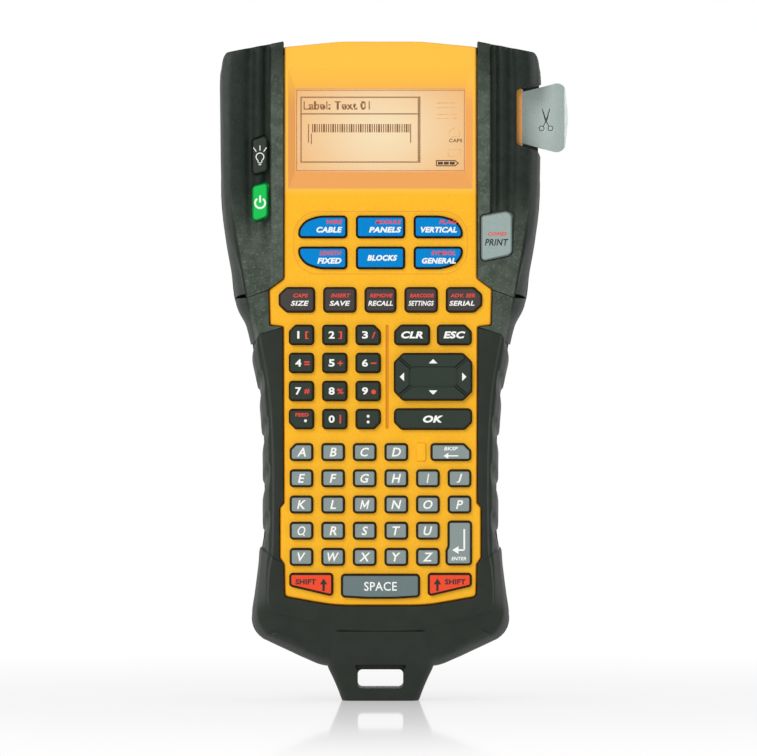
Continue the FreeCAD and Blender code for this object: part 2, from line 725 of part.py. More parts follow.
def rear_housing():
    """The dark rear shell, with its two bays, screw bosses, label slot and power socket hole."""
    outer = back_half("rear_block", 0.0)
    shell = cut("rear_shell", outer, back_half("rear_hollow", size("shell_wall")))
    wall, grip, head, split = (size(a) for a in ("shell_wall", "grip_back", "head_back", "split_plane"))
    inside, holes = [], []
    for i, (x, z, surface) in enumerate(SCREWS):
        top = surface - 0.6
        start = top - size("screw_head_height")
        inside.append(along_depth(f"boss_{i}", 4.2, (x, z), split, top - split - 0.5))
        holes.append(along_depth(f"boss_hole_{i}", SCREW_HOLE, (x, z), split - 1, 60))
        holes.append(along_depth(f"counterbore_{i}", "sheet.screw_head_radius + 0.2", (x, z), start, 10))
    inside.append(box("tray_outer", (-25.6, 1.6, 22.6), (25.6, grip - 1, 134.4)))
    inside.append(box("bay_floor", (-52, -5, 150.2), (40.5, head - 1, 151.8)))
    inside.append(box("bay_side", (-40.0, -5, 151.0), (-38.8, 24.5, 221)))
    inside.append(box("hinge_block", (-52, 25, 220.7), (-39, head - 0.5, 224.2)))
    for i, x in enumerate((-28.2, 25.2)):
        inside.append(box(f"cell_hinge_block_{i}", (x, 15.5, 22.8), (x + 3, grip - 0.4, 28.2)))
    inside.append(pocket_wall("rear_wall"))
    shell = fuse("rear_filled", [shell, common("inside_rear", fuse("rear_additions", inside), outer)])
    holes.append(box("tray_room", (-24.2, 3.0, 24.0), (24.2, grip + 5, 133.0)))
    holes.append(box("battery_opening", (-25.2, grip - wall, 24.6), (25.2, grip + 5, 132.4)))
    holes.append(box("cassette_opening", (-41.4, head - wall - 0.2, 152.8), (39.2, head + 5, 220.7)))
    holes.append(box("label_slot", (32.2, -2.5, 226), (34.6, 22.5, 240)))
    holes.append(cylinder("socket_hole", 4.6, (-50, 8, 168), (-1, 0, 0), 20))
    holes += hinge_room("cassette", (*CASSETTE_HINGE, 152.0), (0, 0, 1), 69.7, (-3.0, 0))
    holes += hinge_room("battery", (-26.2, *BATTERY_HINGE), (1, 0, 0), 52.4, (0, -3.0))
    holes += [lever_pocket("rear_pocket"), hub_room("hub_room_2")]
    holes.append(upright("rear_pin_room", "sheet.cutter_pin_radius + 0.2", CUTTER_AXIS, 185, 42))
    node("rear_housing", cut("rear_housing", shell, group("rear_cuts", holes)))


def hinge_room(name, start, axis, length, side):
    """What a door's hinge needs: holes for its stub ends, a groove for its barrel, and room to swing."""
    start, axis = Vector(*start), Vector(*axis)
    margin = axis * 1.0 if name == "battery" else axis * 0.8
    inner = length - 2 * margin.Length
    low = start + margin
    high = low + axis * inner + Vector(side[0], 4, side[1])
    room = [(min(a, b), max(a, b)) for a, b in zip(low, high)]
    return [
        cylinder(name + "_stub_hole", "1 + sheet.running_gap", start, axis, length),
        cylinder(name + "_groove", 2.75, low, axis, inner),
        box(name + "_swing_room", [pair[0] for pair in room], [pair[1] for pair in room]),
    ]


def screws():
    """Seven screws from the back, each with a cross-shaped drive."""
    made = []
    for i, (x, z, surface) in enumerate(SCREWS):
        top = surface - 0.6
        start = top - size("screw_head_height")
        head = along_depth(f"screw_head_{i}", "sheet.screw_head_radius", (x, z), start, top - start)
        shank_length = start - SCREW_FRONT
        shank = along_depth(f"screw_shank_{i}", "sheet.screw_radius", (x, z), SCREW_FRONT, shank_length)
        arms = []
        for arm, (wide, high) in enumerate(((1.7, 0.35), (0.35, 1.7))):
            low, far = (x - wide, top - 1.2, z - high), (x + wide, top + 1, z + high)
            arms.append(box(f"cross_{i}_{arm}", low, far))
        made.append(cut(f"screw_{i}", fuse(f"screw_blank_{i}", [head, shank]), fuse(f"cross_{i}", arms)))
    node("housing_screws", group("housing_screws", made))


def plate_body(name, corners, plane, thickness, edge=0.0, holes=()):
    """A padded plate that faces the front, with its back edges rounded and its holes pocketed through."""
    body = doc.addObject("PartDesign::Body", name)
    flat = next(f for f in body.Origin.OriginFeatures if f.Role == "XZ_Plane")

    def outline(label, geometry):
        made = body.newObject("Sketcher::SketchObject", label)
        made.AttachmentSupport = (flat, [""])
        made.MapMode = "FlatFace"
        made.setExpression("AttachmentOffset.Base.z", f"-({plane})")
        made.addGeometry(geometry, False)
        return made

    pad = body.newObject("PartDesign::Pad", name + "_pad")
    pad.Profile = outline(name + "_outline", rounded(corners))
    pad.setExpression("Length", thickness)
    doc.recompute()
    if edge:
        back_edge = lies_at("Y", body.Shape.BoundBox.YMax)
        edges = [f"Edge{i}" for i, e in enumerate(body.Shape.Edges, 1) if back_edge(e)]
        fillet = body.newObject("PartDesign::Fillet", name + "_fillet")
        fillet.Base = (pad, edges)
        fillet.Radius = edge
    if holes:
        before = body.Shape.Volume
        pocket = body.newObject("PartDesign::Pocket", name + "_pocket")
        pocket.Profile = outline(name + "_holes", holes)
        pocket.Type = "ThroughAll"
        pocket.Midplane = True
        doc.recompute()
        if body.Shape.Volume >= before:
            raise SystemExit(name + ": its pocket cut nothing")
    return body


def circle(x, z, radius):
    return Part.Circle(Vector(x, z, 0), Vector(0, 0, 1), radius)


def cassette_door():
    """The rear door over the label bay, hinged on its left edge, with a finger notch on its right one."""
    head = size("head_back")
    corners = [(-41.1, 153.1, 1.0), (38.9, 153.1, 3.0), (38.9, 181.0, 1.0), (36.4, 184.0, 1.0)]
    corners += [(36.4, 190.0, 1.0), (38.9, 193.0, 1.0), (38.9, 220.4, 3.0), (-41.1, 220.4, 1.0)]
    plate = plate_body("door_plate", corners, "sheet.head_back", "2.3", 0.8)
    barrel = upright("door_barrel", 1.9, CASSETTE_HINGE, 153.4, 66.7)
    stub = upright("door_stub", 1.0, CASSETTE_HINGE, 152.2, 69.2)
    web = box("door_web", (CASSETTE_HINGE[0], head - 2.3, 153.6), (-40.2, head - 0.4, 219.9))
    ribs = []
    for i, z in enumerate((160, 214)):
        ribs.append(box(f"door_rib_{i}", (-34, head - 4.2, z), (14, head - 2.2, z + 1.2)))
    node("cassette_door", fuse("cassette_door", [plate, barrel, stub, web] + ribs))


def battery_door():
    """The rear door over the cells, hinged at its lower edge, with ridges for a thumb near the top."""
    grip = size("grip_back")
    corners = rectangle(-24.9, 26.9, 24.9, 132.1, 1.0)
    plate = plate_body("cell_door_plate", corners, "sheet.grip_back", "2.2", 0.8)
    barrel = cylinder("cell_door_barrel", 1.9, (-24.9, *BATTERY_HINGE), (1, 0, 0), 49.8)
    stub = cylinder("cell_door_stub", 1.0, (-26.0, *BATTERY_HINGE), (1, 0, 0), 52.0)
    web = box("cell_door_web", (-24.6, grip - 2.2, BATTERY_HINGE[1]), (24.6, grip - 0.4, 28.0))
    ridges = []
    for i in range(5):
        z = 116.0 + 2.2 * i
        ridges.append(box(f"cell_door_ridge_{i}", (-9, grip - 0.5, z), (9, grip + 0.5, z + 1.0)))
    node("battery_door", fuse("battery_door", [plate, barrel, stub, web] + ridges))


# --- electronics -------------------------------------------------------------------------------------------


def display():
    """The clear window and the panel behind it."""
    half, low, high = size("window_half_width"), size("window_bottom"), size("window_top")
    gap, back = 0.15, size("cover_back")
    pane = rectangle(-half + gap, low + gap, half - gap, high - gap, 0.5)
    pane = sketch("lens_outline", rounded(pane), "sheet.cover_back + 0.5")
    pane = extrude("lens_pane", pane, "sheet.lens_thickness + 0.4")
    low_corner = (-half - 1.4, back + 0.1, low - 1.4)
    flange = box("lens_flange", low_corner, (half + 1.4, back + 1.2, high + 1.4))
    node("lcd_lens", fuse("lcd_lens", [pane, flange]))
    node("lcd_panel", box("lcd_panel", (-32.2, -21.2, 181.8), (32.2, -17.6, 216.6)))


def boards():
    """The rubber mat behind the keys, the circuit board with its chips, and the power socket."""
    holes = [circle(x, z, 1.2) for x, z in BOARD_POSTS]
    mat_corners = rectangle(-32.8, 36.0, 32.8, 172.0, 2.0)
    node("keypad_mat", plate_body("keypad_mat", mat_corners, "-17.4", "1.2", holes=holes))
    board = plate_body("board_plate", rectangle(-32.6, 35.0, 32.6, 214.0, 2.0), "-14.4", "1.6", holes=holes)
    chips = [
        box("processor", (-12, -14.4, 118), (4, -12.6, 134)),
        box("memory", (10, -14.4, 120), (22, -13.2, 128)),
        box("motor_driver", (12, -14.4, 158), (22, -13.0, 166)),
        box("regulator", (-26, -14.4, 160), (-16, -11.4, 168)),
        box("ribbon_connector", (-14, -14.4, 198), (14, -12.0, 203)),
    ]
    node("main_board", fuse("main_board", [board] + chips))
    middle = (8, 168)
    barrel = box("socket_body", (-51.6, 2.6, 163.2), (-40.6, 13.4, 172.8))
    nose = cylinder("socket_nose", 4.3, (-51.6, *middle), (-1, 0, 0), 2.8)
    bore = cylinder("socket_bore", 3.1, (-43, *middle), (-1, 0, 0), 20)
    pin = cylinder("socket_pin", 1.0, (-42.5, *middle), (-1, 0, 0), 10.5)
    bored = cut("socket_bored", fuse("socket_blank", [barrel, nose]), bore)
    node("power_socket", fuse("power_socket", [bored, pin]))


def batteries():
    """Six cells in two rows of three, and the plates and springs that join them."""
    cells, contacts = [], []
    length, y, tip_height, plate = size("cell_length"), size("cell_y"), 1.2, 0.4
    for row, low in enumerate((26.6, 79.4)):
        for column in (-1, 0, 1):
            x, name = column * size("cell_pitch"), f"cell_{row}_{column + 1}"
            up = 1 if (row + column) % 2 == 0 else -1
            flat_z, tip_z = (low, low + length) if up > 0 else (low + length, low)
            can_length = length - tip_height
            can = cylinder(name + "_can", "sheet.cell_radius", (x, y, flat_z), (0, 0, up), can_length)
            tip = cylinder(name + "_tip", 2.6, (x, y, tip_z - up * tip_height), (0, 0, up), tip_height)
            cells.append(fuse(name, [can, tip]))
            spring = cylinder(name + "_spring", 2.4, (x, y, flat_z - up * tip_height), (0, 0, up), tip_height)
            for end, z in (("plus", tip_z), ("minus", flat_z - up * tip_height)):
                z = z if (end == "plus") == (up > 0) else z - plate
                contacts.append(box(f"{name}_{end}", (x - 5.5, y - 5.5, z), (x + 5.5, y + 5.5, z + plate)))
            contacts.append(spring)
    node("batteries", group("batteries", cells))
    node("battery_contacts", fuse("battery_contacts", contacts))


# --- print mechanism ---------------------------------------------------------------------------------------

CUTTER_AXIS = (46.5, -9.0)
SLOT_X = 33.4


def gear(name, teeth, place, turn, bore):
    """A spur gear with involute teeth that faces the front, turned by some degrees, with a round bore."""
    wires = fcgear.FCWireBuilder()
    involute.CreateExternalGear(wires, size("gear_module"), teeth, 20.0, addCoeff=0.92, dedCoeff=1.25)
    outline = Part.Wire([curve.toShape() for curve in wires.wire])
    solid = Part.Face(outline).extrude(Vector(0, 0, size("gear_width")))
    if bore:
        solid = solid.cut(Part.makeCylinder(bore, size("gear_width")))
    made = doc.addObject("Part::Feature", name)
    made.Shape = solid
    base = Vector(place[0], size("gear_back"), place[1])
    made.Placement = Placement(base, FACING_FRONT * Rotation(Vector(0, 0, 1), turn))
    return made


def beside_platen(teeth, direction):
    """Where a gear's centre sits that meshes with the platen's, in a direction in degrees, and its turn."""
    reach = size("gear_module") * (PLATEN_TEETH + teeth) / 2 + size("gear_clearance")
    x = size("platen_x") + reach * math.cos(math.radians(direction))
    z = size("platen_z") + reach * math.sin(math.radians(direction))
    leader_phase = (direction * PLATEN_TEETH / 360.0) % 1.0
    own_turn = direction + 180.0 + (leader_phase + 0.5) * 360.0 / teeth
    return (x, z), own_turn


def drive_train():
    """The platen with its gear, and the motor pinion and ribbon spindle that mesh with it."""
    platen = (size("platen_x"), size("platen_z"))
    back, chassis_back = size("gear_back"), size("chassis_back")
    shaft_end = back - size("gear_width") - 0.6
    shaft = along_depth("platen_shaft", "sheet.shaft_radius", platen, shaft_end, 32.5)
    rubber = along_depth("platen_rubber", "sheet.platen_radius", platen, -0.5, 20)
    node("platen_roller", fuse("platen_roller", [shaft, rubber]))
    node("platen_gear", gear("platen_gear", PLATEN_TEETH, platen, 0.0, size("shaft_radius")))
    place, turn = beside_platen(PINION_TEETH, -58.0)
    pinion = gear("pinion_teeth", PINION_TEETH, place, turn, 0)
    axle = along_depth("pinion_axle", 1.0, place, back - 1, 9.5)
    node("motor_pinion", fuse("motor_pinion", [pinion, axle]))
    can = along_depth("motor_can", "sheet.motor_radius", place, chassis_back, "sheet.motor_length")
    bearing = along_depth("motor_rear_boss", 2.5, place, chassis_back, "sheet.motor_length + 1.5")
    bore = along_depth("motor_bore", "1 + sheet.running_gap", place, chassis_back - 1, 6.5)
    node("drive_motor", cut("drive_motor", fuse("motor_blank", [can, bearing]), bore))
    spindle_place, turn = beside_platen(RIBBON_TEETH, -153.0)
    teeth = gear("ribbon_teeth", RIBBON_TEETH, spindle_place, turn, 0)
    axle = along_depth("ribbon_axle", "sheet.shaft_radius", spindle_place, back - 0.5, 18.5)
    node("ribbon_spindle", fuse("ribbon_spindle", [teeth, axle] + spindle_fins(spindle_place)))
    return place, spindle_place


def spindle_fins(place):
    """Three fins along the ribbon spindle, which grip the reel's core."""
    front, count = 2, 3
    length, depth, thickness = 3.2, 9.0, 0.8
    fins = []
    for i in range(count):
        fin = doc.addObject("Part::Box", f"ribbon_fin_{i}")
        fin.Length, fin.Width, fin.Height = length, depth, thickness
        turned = Rotation(Vector(0, 1, 0), 360.0 / count * i)
        corner = Vector(place[0], front, place[1]) - turned * Vector(0, 0, thickness / 2)
        fin.Placement = Placement(corner, turned)
        fins.append(fin)
    return fins


def chassis(pinion_place, spindle_place):
    """The metal plate that carries the shafts, and what is fixed to it."""
    back, thickness, gap = size("chassis_back"), size("chassis_thickness"), size("running_gap")
    platen = (size("platen_x"), size("platen_z"))
    top = 217.5
    holes = [circle(*platen, size("shaft_radius") + gap), circle(*spindle_place, size("shaft_radius") + gap)]
    holes.append(circle(*pinion_place, 2.0))
    corners = [(-38.5, 151.8, 0), (42.0, 151.8, 0), (42.0, top, 2.0), (-38.5, top, 2.0)]
    plate = plate_body("chassis_plate", corners, "sheet.chassis_back", "sheet.chassis_thickness", holes=holes)
    collars = []
    for name, place in (("platen", platen), ("ribbon", spindle_place)):
        collar = along_depth(name + "_collar", 3.6, place, back, 1.8)
        bore = along_depth(name + "_bore", "sheet.shaft_radius + sheet.running_gap", place, back - 1, 5)
        collars.append(cut(name + "_bearing", collar, bore))
    post = box("anvil_post", (18, back - thickness, top - 1), (28, back, 221.6))
    node("mechanism_chassis", fuse("mechanism_chassis", [plate, post] + collars))
    print_head()
    label_cassette(platen, spindle_place)


def print_head():
    """The print head's ceramic plate, and its heat sink with four fins."""
    plate_end, sink_end, fins_end = SLOT_X + 1.6, SLOT_X + 4.2, SLOT_X + 6.4
    head = box("head_plate", (SLOT_X + 0.2, -1.0, 187.5), (plate_end, 19.5, 204.5))
    sink = box("head_sink", (plate_end, -3.0, 189.0), (sink_end, 19.0, 203.0))
    fins = []
    for i in range(4):
        z = 190.5 + 3.5 * i
        fins.append(box(f"head_fin_{i}", (sink_end, -1, z), (fins_end, 18, z + 1)))
    node("print_head", fuse("print_head", [head, sink] + fins))


def label_cassette(platen, spindle_place):
    """The cassette's case, with rooms for the roller and the spindle, and its reel's hub."""
    outline = [(-38.0, 157, 3), (17.5, 157, 3), (17.5, 178, 3), (19.5, 204, 2)]
    outline += [(28.0, 206, 2), (28.0, 213, 2), (-38.0, 213, 3)]
    case = extrude("cassette_block", sketch("cassette_outline", rounded(outline), "21"), "21.5")
    hub_hole = along_depth("spindle_room", 5.0, spindle_place, -5, 40)
    roller_room = along_depth("roller_room", "sheet.platen_radius + 1", platen, -5, 40)
    reel = along_depth("reel_hub", 6.0, (-18, 186), 20, 1.8)
    rooms = fuse("cassette_rooms", [hub_hole, roller_room])
    node("label_cassette", fuse("label_cassette", [cut("cassette_case", case, rooms), reel]))


def cutter():
    """The lever beside the head, its blade arm inside, and the fixed blade, pin and spring."""
    hub_low, hub_high, arm_low, arm_high = 194.6, 222.4, 218.9, 220.5
    hub = upright("lever_hub", "sheet.cutter_hub_radius", CUTTER_AXIS, hub_low, hub_high - hub_low)
    paddle = extrude_up("paddle_section", paddle_section(), 185, 40)
    face = [(44, 194.9, 0), (49.0, 195.3, 0), (64.2, 191.2, 3.0), (65.6, 204, 30), (64.2, 216.8, 3.0)]
    face += [(49.0, 212.9, 0), (44, 212.6, 0)]
    face = extrude("paddle_face", sketch("paddle_outline", rounded(face), "10"), "60")
    paddle = common("paddle", paddle, face)
    arm = [(46.5, -12.0, 0), (49.5, -9.0, 0), (48.0, -5.0, 0), (45.0, 21.0, 2)]
    arm += [(41.0, 21.0, 2), (38.0, 0.0, 2), (42.5, -8.0, 2)]
    arm = extrude_up("arm", rounded(arm), arm_low, arm_high - arm_low)
    whole = fuse("lever_blank", [hub, paddle, arm])
    bore = upright("lever_bore", "sheet.cutter_pin_radius + sheet.running_gap", CUTTER_AXIS, 190, 40)
    node("cutter_lever", cut("cutter_lever", whole, bore))
    blade = [(35.6, -2.5, 0), (41.5, -2.5, 0), (45.5, 20.5, 0), (41.0, 21.5, 0)]
    node("cutter_blade", extrude_up("cutter_blade", rounded(blade), arm_high, 0.9))
    anvil = [(18, -5.0, 0), (33.0, -5.0, 0), (33.0, 21.5, 0), (29.5, 21.5, 0), (26, -3.0, 0), (18, -3.0, 0)]
    node("cutter_anvil", extrude_up("cutter_anvil", rounded(anvil), 221.6, 0.9))
    node("cutter_pin", upright("cutter_pin", "sheet.cutter_pin_radius", CUTTER_AXIS, 186, 40))
    node("cutter_spring", torsion_spring())


def torsion_spring():
    """The turns of a close-wound spring round the pin."""
    radius, wire, pitch, turns, low = 2.3, 0.3, 0.65, 6, 189.9
    rings = []
    for i in range(turns):
        ring = doc.addObject("Part::Torus", f"spring_turn_{i}")
        ring.Radius1, ring.Radius2 = radius, wire
        ring.Placement.Base = Vector(*CUTTER_AXIS, low + pitch * i)
        rings.append(ring)
    return group("cutter_spring", rings)


def paddle_section():
    """The lever's cross-section seen from above: a neck at the hub, then a concave thumb face."""
    start, tip, heel, neck = (49.2, -17.6), (64.2, -19.6), (65.4, -18.4), (51.0, -9.2)
    face, rear = Part.BSplineCurve(), Part.BSplineCurve()
    face.interpolate([Vector(*point, 0) for point in (start, (54.0, -15.4), (59.5, -16.2), tip)])
    rear.interpolate([Vector(*point, 0) for point in (heel, (61.0, -14.2), (56.0, -12.2), neck)])
    hub = [neck, (46.5, -6.6), (43.6, -9.0), (47.7, -12.0), start]
    straight = [(tip, heel)] + list(zip(hub, hub[1:]))
    return [face, rear] + [Part.LineSegment(Vector(*a, 0), Vector(*b, 0)) for a, b in straight]


def extrude_up(name, geometry, low, height):
    """A solid on a level outline, from low upwards."""
    return extrude(name, sketch(name + "_outline", geometry, str(low), "up"), str(height))


letter_keys()
number_keys()
hot_keys()
function_keys()
control_keys()
edit_keys()
rail_buttons()
front_cover()
front_shells()
rear_housing()
screws()
cassette_door()
battery_door()
display()
boards()
batteries()
chassis(*drive_train())
cutter()

doc.recompute()
failed = [o.Name for o in doc.Objects if set(o.State) & {"Invalid", "Error"}]
failed += [name for name, part in NODES.items() if part.Shape.isNull() or not part.Shape.isValid()]
failed += [name for name, part in NODES.items() if not part.Shape.Solids]
if failed:
    raise SystemExit(f"failed objects: {failed}")
os.makedirs("parts", exist_ok=True)
for name, part in NODES.items():
    part.Shape.exportStep(f"parts/{name}.step")
print(len(NODES), "sub-parts")
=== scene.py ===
import json
import math

import bmesh
import bpy
import numpy as np
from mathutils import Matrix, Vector
from mathutils.bvhtree import BVHTree


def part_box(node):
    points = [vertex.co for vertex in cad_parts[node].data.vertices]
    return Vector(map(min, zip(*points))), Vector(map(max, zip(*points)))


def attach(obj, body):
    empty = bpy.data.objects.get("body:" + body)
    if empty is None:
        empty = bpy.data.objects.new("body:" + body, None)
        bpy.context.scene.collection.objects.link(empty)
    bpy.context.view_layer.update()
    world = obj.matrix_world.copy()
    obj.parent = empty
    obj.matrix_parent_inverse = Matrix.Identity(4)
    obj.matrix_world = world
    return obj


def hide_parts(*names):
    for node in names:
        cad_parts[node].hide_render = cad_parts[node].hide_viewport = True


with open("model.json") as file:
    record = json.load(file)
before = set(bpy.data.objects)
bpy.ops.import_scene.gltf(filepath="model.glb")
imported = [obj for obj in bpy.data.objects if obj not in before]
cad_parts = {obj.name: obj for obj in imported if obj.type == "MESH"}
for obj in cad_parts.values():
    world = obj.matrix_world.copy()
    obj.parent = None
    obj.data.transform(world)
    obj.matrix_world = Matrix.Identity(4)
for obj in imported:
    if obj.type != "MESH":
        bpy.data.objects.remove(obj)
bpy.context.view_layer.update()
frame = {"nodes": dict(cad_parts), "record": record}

MM = 0.001
HOUSING = "housing"

# Places and sizes below are in millimetres, in the frame's own axes: X to the right, Y into the device, Z up.
RAIL_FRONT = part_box("left_rail")[0].y / MM
COVER_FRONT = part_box("front_cover")[0].y / MM
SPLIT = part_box("rear_housing")[0].y / MM
TAB_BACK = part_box("lower_boot")[1].y / MM
COVER_HALF = 33.6
SEAM = 0.25


# --- numbers and curves ------------------------------------------------------------------------------------


def smooth(value, low=0.0, high=1.0):
    """0 below low, 1 above high, and a soft step between."""
    t = np.clip((value - low) / (high - low), 0.0, 1.0)
    return t * t * (3 - 2 * t)


def rounded_path(corners, steps=6):
    """Points along straight lines through the corners, each (x, z, radius), with an arc at each one."""
    points = []
    for i, (x, z, radius) in enumerate(corners):
        here = np.array((x, z))
        before = np.array(corners[i - 1][:2]) - here
        after = np.array(corners[(i + 1) % len(corners)][:2]) - here
        room = 0.49 * min(np.linalg.norm(before), np.linalg.norm(after))
        before, after = before / np.linalg.norm(before), after / np.linalg.norm(after)
        half = math.acos(np.clip(before @ after, -1, 1)) / 2
        reach = min(radius / math.tan(half), room)
        radius = reach * math.tan(half)
        if reach < 1e-4:
            points.append(here)
            continue
        middle = here + (before + after) / np.linalg.norm(before + after) * radius / math.sin(half)
        start, end = here + before * reach - middle, here + after * reach - middle
        for k in range(steps + 1):
            turned = start * (1 - k / steps) + end * (k / steps)
            points.append(middle + turned / np.linalg.norm(turned) * radius)
    return np.array(points)


def rounded_rectangle(centre, width, height, radius, steps=5):
    """A round-cornered rectangle's outline."""
    (x, z), w, h = centre, width / 2, height / 2
    corners = [(x - w, z - h), (x + w, z - h), (x + w, z + h), (x - w, z + h)]
    return rounded_path([(*corner, radius) for corner in corners], steps)


def flowing(rows, steps):
    """Rows of numbers with a smooth passage between them, steps rows for each gap."""
    rows = np.array(rows, dtype=float)
    padded = np.vstack([2 * rows[0] - rows[1], rows, 2 * rows[-1] - rows[-2]])
    made = []
    for i in range(1, len(padded) - 2):
        a, b, c, d = padded[i - 1 : i + 3]
        for k in range(steps):
            t = k / steps
            lean = (c - a) * t + (2 * a - 5 * b + 4 * c - d) * t**2 + (3 * b - a - 3 * c + d) * t**3
            made.append(b + 0.5 * lean)
    made.append(rows[-1])
    return np.array(made)


def along(table, z, column=1):
    """A value at a height, from rows (z, value, ...), with a smooth passage between the rows."""
    rows = flowing(sorted(table), 8)
    return np.interp(z, rows[:, 0], rows[:, column])


# --- meshes ------------------------------------------------------------------------------------------------


def finish_piece(obj, material, body, sharp=35.0):
    """Gives a new piece its material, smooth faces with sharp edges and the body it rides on."""
    obj.data.materials.clear()
    obj.data.materials.append(material)
    obj.data.shade_smooth()
    obj.data.set_sharp_from_angle(angle=math.radians(sharp))
    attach(obj, body)
    return obj


def add_object(name, data):
    """An object of some data, in the scene."""
    made = bpy.data.objects.new(name, data)
    bpy.context.scene.collection.objects.link(made)
    return made

def new_object(name, points, faces):
    """A mesh object from points in millimetres."""
    mesh = bpy.data.meshes.new(name)
    mesh.from_pydata([tuple(float(c) * MM for c in point) for point in points], [], faces)
    mesh.validate()
    made = bmesh.new()
    made.from_mesh(mesh)
    bmesh.ops.remove_doubles(made, verts=made.verts, dist=0.002 * MM)
    bmesh.ops.dissolve_degenerate(made, edges=made.edges, dist=0.001 * MM)
    bmesh.ops.recalc_face_normals(made, faces=made.faces)
    made.to_mesh(mesh)
    made.free()
    return add_object(name, mesh)


def loft(name, sections):
    """A closed solid through sections, each a closed loop with the same number of points."""
    count = len(sections[0])
    points = [point for section in sections for point in section]
    faces = []
    for i in range(len(sections) - 1):
        for k in range(count):
            following = (k + 1) % count
            low, high = i * count, (i + 1) * count
            faces.append((low + k, low + following, high + following, high + k))
    faces.append(tuple(range(count)))
    faces.append(tuple(reversed(range(len(points) - count, len(points)))))
    return new_object(name, points, faces)


def prism(name, outline, front, back, edge=0.0):
    """An outline in X and Z carried from the front depth to the back one, its front rim rounded by edge."""
    sections = []
    for turn in np.linspace(0, 90, 5) if edge else [90]:
        turn = math.radians(turn)
        drawn_in = inset(outline, edge * (1 - math.sin(turn)))
        depth = front + edge * (1 - math.cos(turn))
        sections.append([(x, depth, z) for x, z in drawn_in])
    sections.append([(x, back, z) for x, z in outline])
    return loft(name, sections)


def inset(outline, amount):
    """A closed outline moved inwards along its own normals."""
    outline = np.array(outline)
    if not amount:
        return outline
    ahead = np.roll(outline, -1, axis=0) - np.roll(outline, 1, axis=0)
    normals = np.stack([-ahead[:, 1], ahead[:, 0]], axis=1)
    normals /= np.linalg.norm(normals, axis=1, keepdims=True) + 1e-9
    x, z = outline[:, 0], outline[:, 1]
    area = np.sum(x * np.roll(z, -1) - np.roll(x, -1) * z)
    return outline + normals * amount * (1 if area > 0 else -1)


def cut_away(obj, cutters):
    """Takes the cutters out of a piece, and removes them."""
    for i, cutter in enumerate(cutters):
        modifier = obj.modifiers.new(f"cut_{i}", "BOOLEAN")
        modifier.operation = "DIFFERENCE"
        modifier.solver = "EXACT"
        modifier.object = cutter
    bpy.context.view_layer.update()
    shown = obj.evaluated_get(bpy.context.evaluated_depsgraph_get())
    mesh = bpy.data.meshes.new_from_object(shown)
    obj.modifiers.clear()
    obj.data = mesh
    for cutter in cutters:
        bpy.data.objects.remove(cutter)
    return obj


def hull_outline(node, depth):
    """The outline in X and Z of a node's points that lie ahead of a depth, as a convex loop."""
    points = [v.co / MM for v in frame["nodes"][node].data.vertices]
    flat = sorted({(round(p.x, 3), round(p.z, 3)) for p in points if p.y < depth})
    halves = []
    for ordered in (flat, flat[::-1]):
        half = []
        for point in ordered:
            while len(half) > 1:
                (ax, az), (bx, bz) = half[-2:]
                if (bx - ax) * (point[1] - az) - (bz - az) * (point[0] - ax) > 0:
                    break
                half.pop()
            half.append(point)
        halves += half[:-1]
    return np.array(halves)


# --- materials ---------------------------------------------------------------------------------------------


def srgb(red, green, blue):
    """A colour as the eye reads it, 0 to 255, in the linear numbers that shaders take."""
    def linear(value):
        value /= 255
        return value / 12.92 if value <= 0.04045 else ((value + 0.055) / 1.055) ** 2.4
    return (linear(red), linear(green), linear(blue), 1.0)


def shade(colour, factor):
    return tuple(min(c * factor, 1.0) for c in colour[:3]) + (1.0,)


